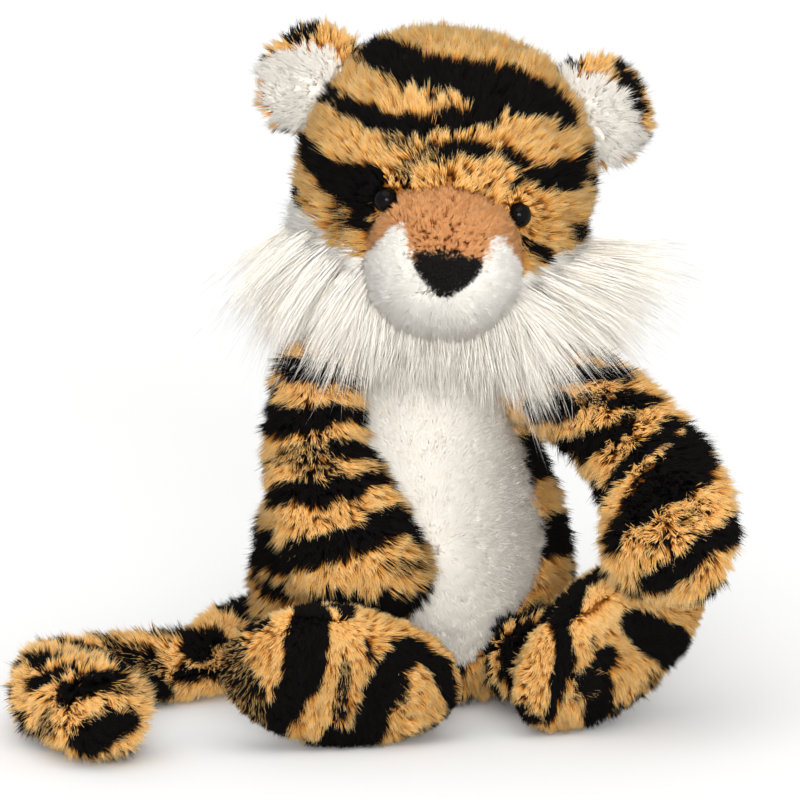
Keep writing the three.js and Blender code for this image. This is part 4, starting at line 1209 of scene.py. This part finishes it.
def nose_form():
    left, right, bottom = (-NOSE_HALF, NOSE_TOP), (NOSE_HALF, NOSE_TOP), (0, NOSE_BOTTOM)
    corners = [(left, (0, NOSE_TOP + 2), right), (right, (NOSE_HALF, NOSE_MIDDLE), bottom),
               (bottom, (-NOSE_HALF, NOSE_MIDDLE), left)]
    t = np.linspace(0, 1, 24, endpoint=False)[:, None]
    line = np.vstack([np.array(a) * (1 - t) ** 2 + 2 * np.array(b) * t * (1 - t) + np.array(c) * t**2
                      for a, b, c in corners])
    way = line - NOSE_CORE
    line = NOSE_CORE + way * (1 + 2.0 / np.linalg.norm(way, axis=1))[:, None]
    for _ in range(3):
        line = (np.roll(line, 1, 0) + 2 * line + np.roll(line, -1, 0)) / 4
    profile = [(s, NOSE_BULGE * s**3.2) for s in np.linspace(0, 0.97, 12)]
    profile += [(1.0, 5.0), (1.0, 7.0), (0.97, 9.0), (0.5, NOSE_BACK), (0.0, NOSE_BACK)]
    rings = []
    for share, back in profile:
        flat = NOSE_CORE + (line - NOSE_CORE) * share
        rings.append(np.stack([flat[:, 0], np.full(len(flat), NOSE_FRONT + back), flat[:, 1]], -1))
    middles = np.tile([0, NOSE_FRONT + 5.0, NOSE_CORE[1]], (len(rings), 1))
    return Form(np.array(rings), middles).moved(HEAD_FRAME, NECK)


nose = nose_form()
skins["nose"] = nose.inset(0.4)
cloth("nose_cloth", "head", "nose", NOSE, 0.9, "nose")
roots = scatter(nose, 4.2, 0.5)
roots = chosen(roots, roots.normal @ HEAD_FRAME[:, 1] < 0.2)
comb = combed(roots, roots.along + DOWN + 0.3 * rng.normal(size=roots.skin.shape))
path, _ = tufts(roots, comb, pile=1.9, lean=40, per=4, reach=0.35, pull=0.4, spread=0.4)
hair_mesh("nose_fur", "head", path, (0.3, 0), rng.random(len(path)), SHADE, NOSE)

# Eyes: glossy domes on a shank. How deep each sits, and radius and height along the shank
EYE_SUNK = {"left": 2.5, "right": 1.5}
EYE_BACK = [(4.5, -0.3), (4.2, -0.6), (1.6, -0.6), (1.6, -9.5), (1.2, -10.0), (0, -10.0)]
for side in SIDES:
    seat = eye_seat(side)
    out = head_normal(seat)
    a = unit(np.cross(UP, out))
    b = np.cross(out, a)
    dome = np.linspace(0, math.pi / 2, 20)
    profile = [(math.sin(t) * EYE_RADIUS, math.cos(t) * EYE_RADIUS) for t in dome] + EYE_BACK
    angle = circle(48)[:, None]
    rings = [a * np.cos(angle) * r + b * np.sin(angle) * r + out * h for r, h in profile]
    places = np.array(rings) + seat - out * EYE_SUNK[side]
    middles = np.tile(seat - out * (EYE_SUNK[side] + 1), (len(places), 1))
    verts, quads, ends = Form(places, middles).moved(HEAD_FRAME, NECK).mesh()
    made = mesh_of("eye_dome_" + side, verts, [quads, ends])
    dress(made, "head", EYE)
    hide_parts("eye_" + side)

# Inside pieces keep their solids
INSIDE = {
    "neck": plain("neck_cloth", (0.52, 0.27, 0.07), 300, 0.95),
    "stuffing": plain("wadding", (0.86, 0.84, 0.80), 240, 0.95),
    "pellet": plain("pellet_bag", (0.70, 0.66, 0.58), 700, 0.8),
    "washer": plain("washer_plastic", (0.72, 0.70, 0.66), 180, 0.35),
}
for name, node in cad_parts.items():
    for word, finish in INSIDE.items():
        if word in name:
            node.data.materials.clear()
            node.data.materials.append(finish)
            break

# Floor, light and camera
FLOOR_HALF = 14.0
half = FLOOR_HALF
data = bpy.data.meshes.new("floor")
data.from_pydata([(-half, -half, 0), (half, -half, 0), (half, half, 0), (-half, half, 0)], [],
                 [(0, 1, 2, 3)])
floor = link("floor", data)
made, nt, shader = material("floor_paper", 0.9, 0.1)
paper = ramp(nt, [(0, (0.72, 0.72, 0.717)), (1, (0.73, 0.73, 0.727))], grain(nt, 3))
nt.links.new(paper, shader.inputs["Base Color"])
floor.data.materials.append(made)

world = bpy.data.worlds.new("studio")
bpy.context.scene.world = world
world.use_nodes = True
background = world.node_tree.nodes["Background"]
background.inputs[0].default_value = (1, 1, 1, 1)
background.inputs[1].default_value = 0.88


def lamp(name, kind, place, power, **settings):
    """A lamp at place that looks at the middle of the toy."""
    data = bpy.data.lights.new(name, kind)
    data.energy = power
    for key, value in settings.items():
        setattr(data, key, value)
    made = link(name, data)
    made.location = place
    way = Vector((0, 0, 0.1)) - Vector(place)
    made.rotation_euler = way.to_track_quat("-Z", "Y").to_euler()


lamp("key_light", "SUN", (0.15, -1.5, 0.35), 2.7, angle=math.radians(30))
lamp("top_light", "SUN", (-0.1, -0.6, 1.5), 1.3, angle=math.radians(60))
lamp("catch_light", "AREA", (-0.1, -1.4, 0.5), 4.0, size=0.25)

AIM = Vector((-0.005, 0, 0.1052))
DISTANCE = 1.3
ELEVATION = math.radians(10)
camera = bpy.data.cameras.new("camera")
camera.lens = 162.5
camera.sensor_width = 36
camera.clip_end = 60
view = link("camera", camera)
forward = Vector((0, math.cos(ELEVATION), -math.sin(ELEVATION)))
view.location = AIM - forward * DISTANCE
view.rotation_euler = forward.to_track_quat("-Z", "Y").to_euler()
bpy.context.scene.camera = view
bpy.context.scene.view_settings.view_transform = "Standard"
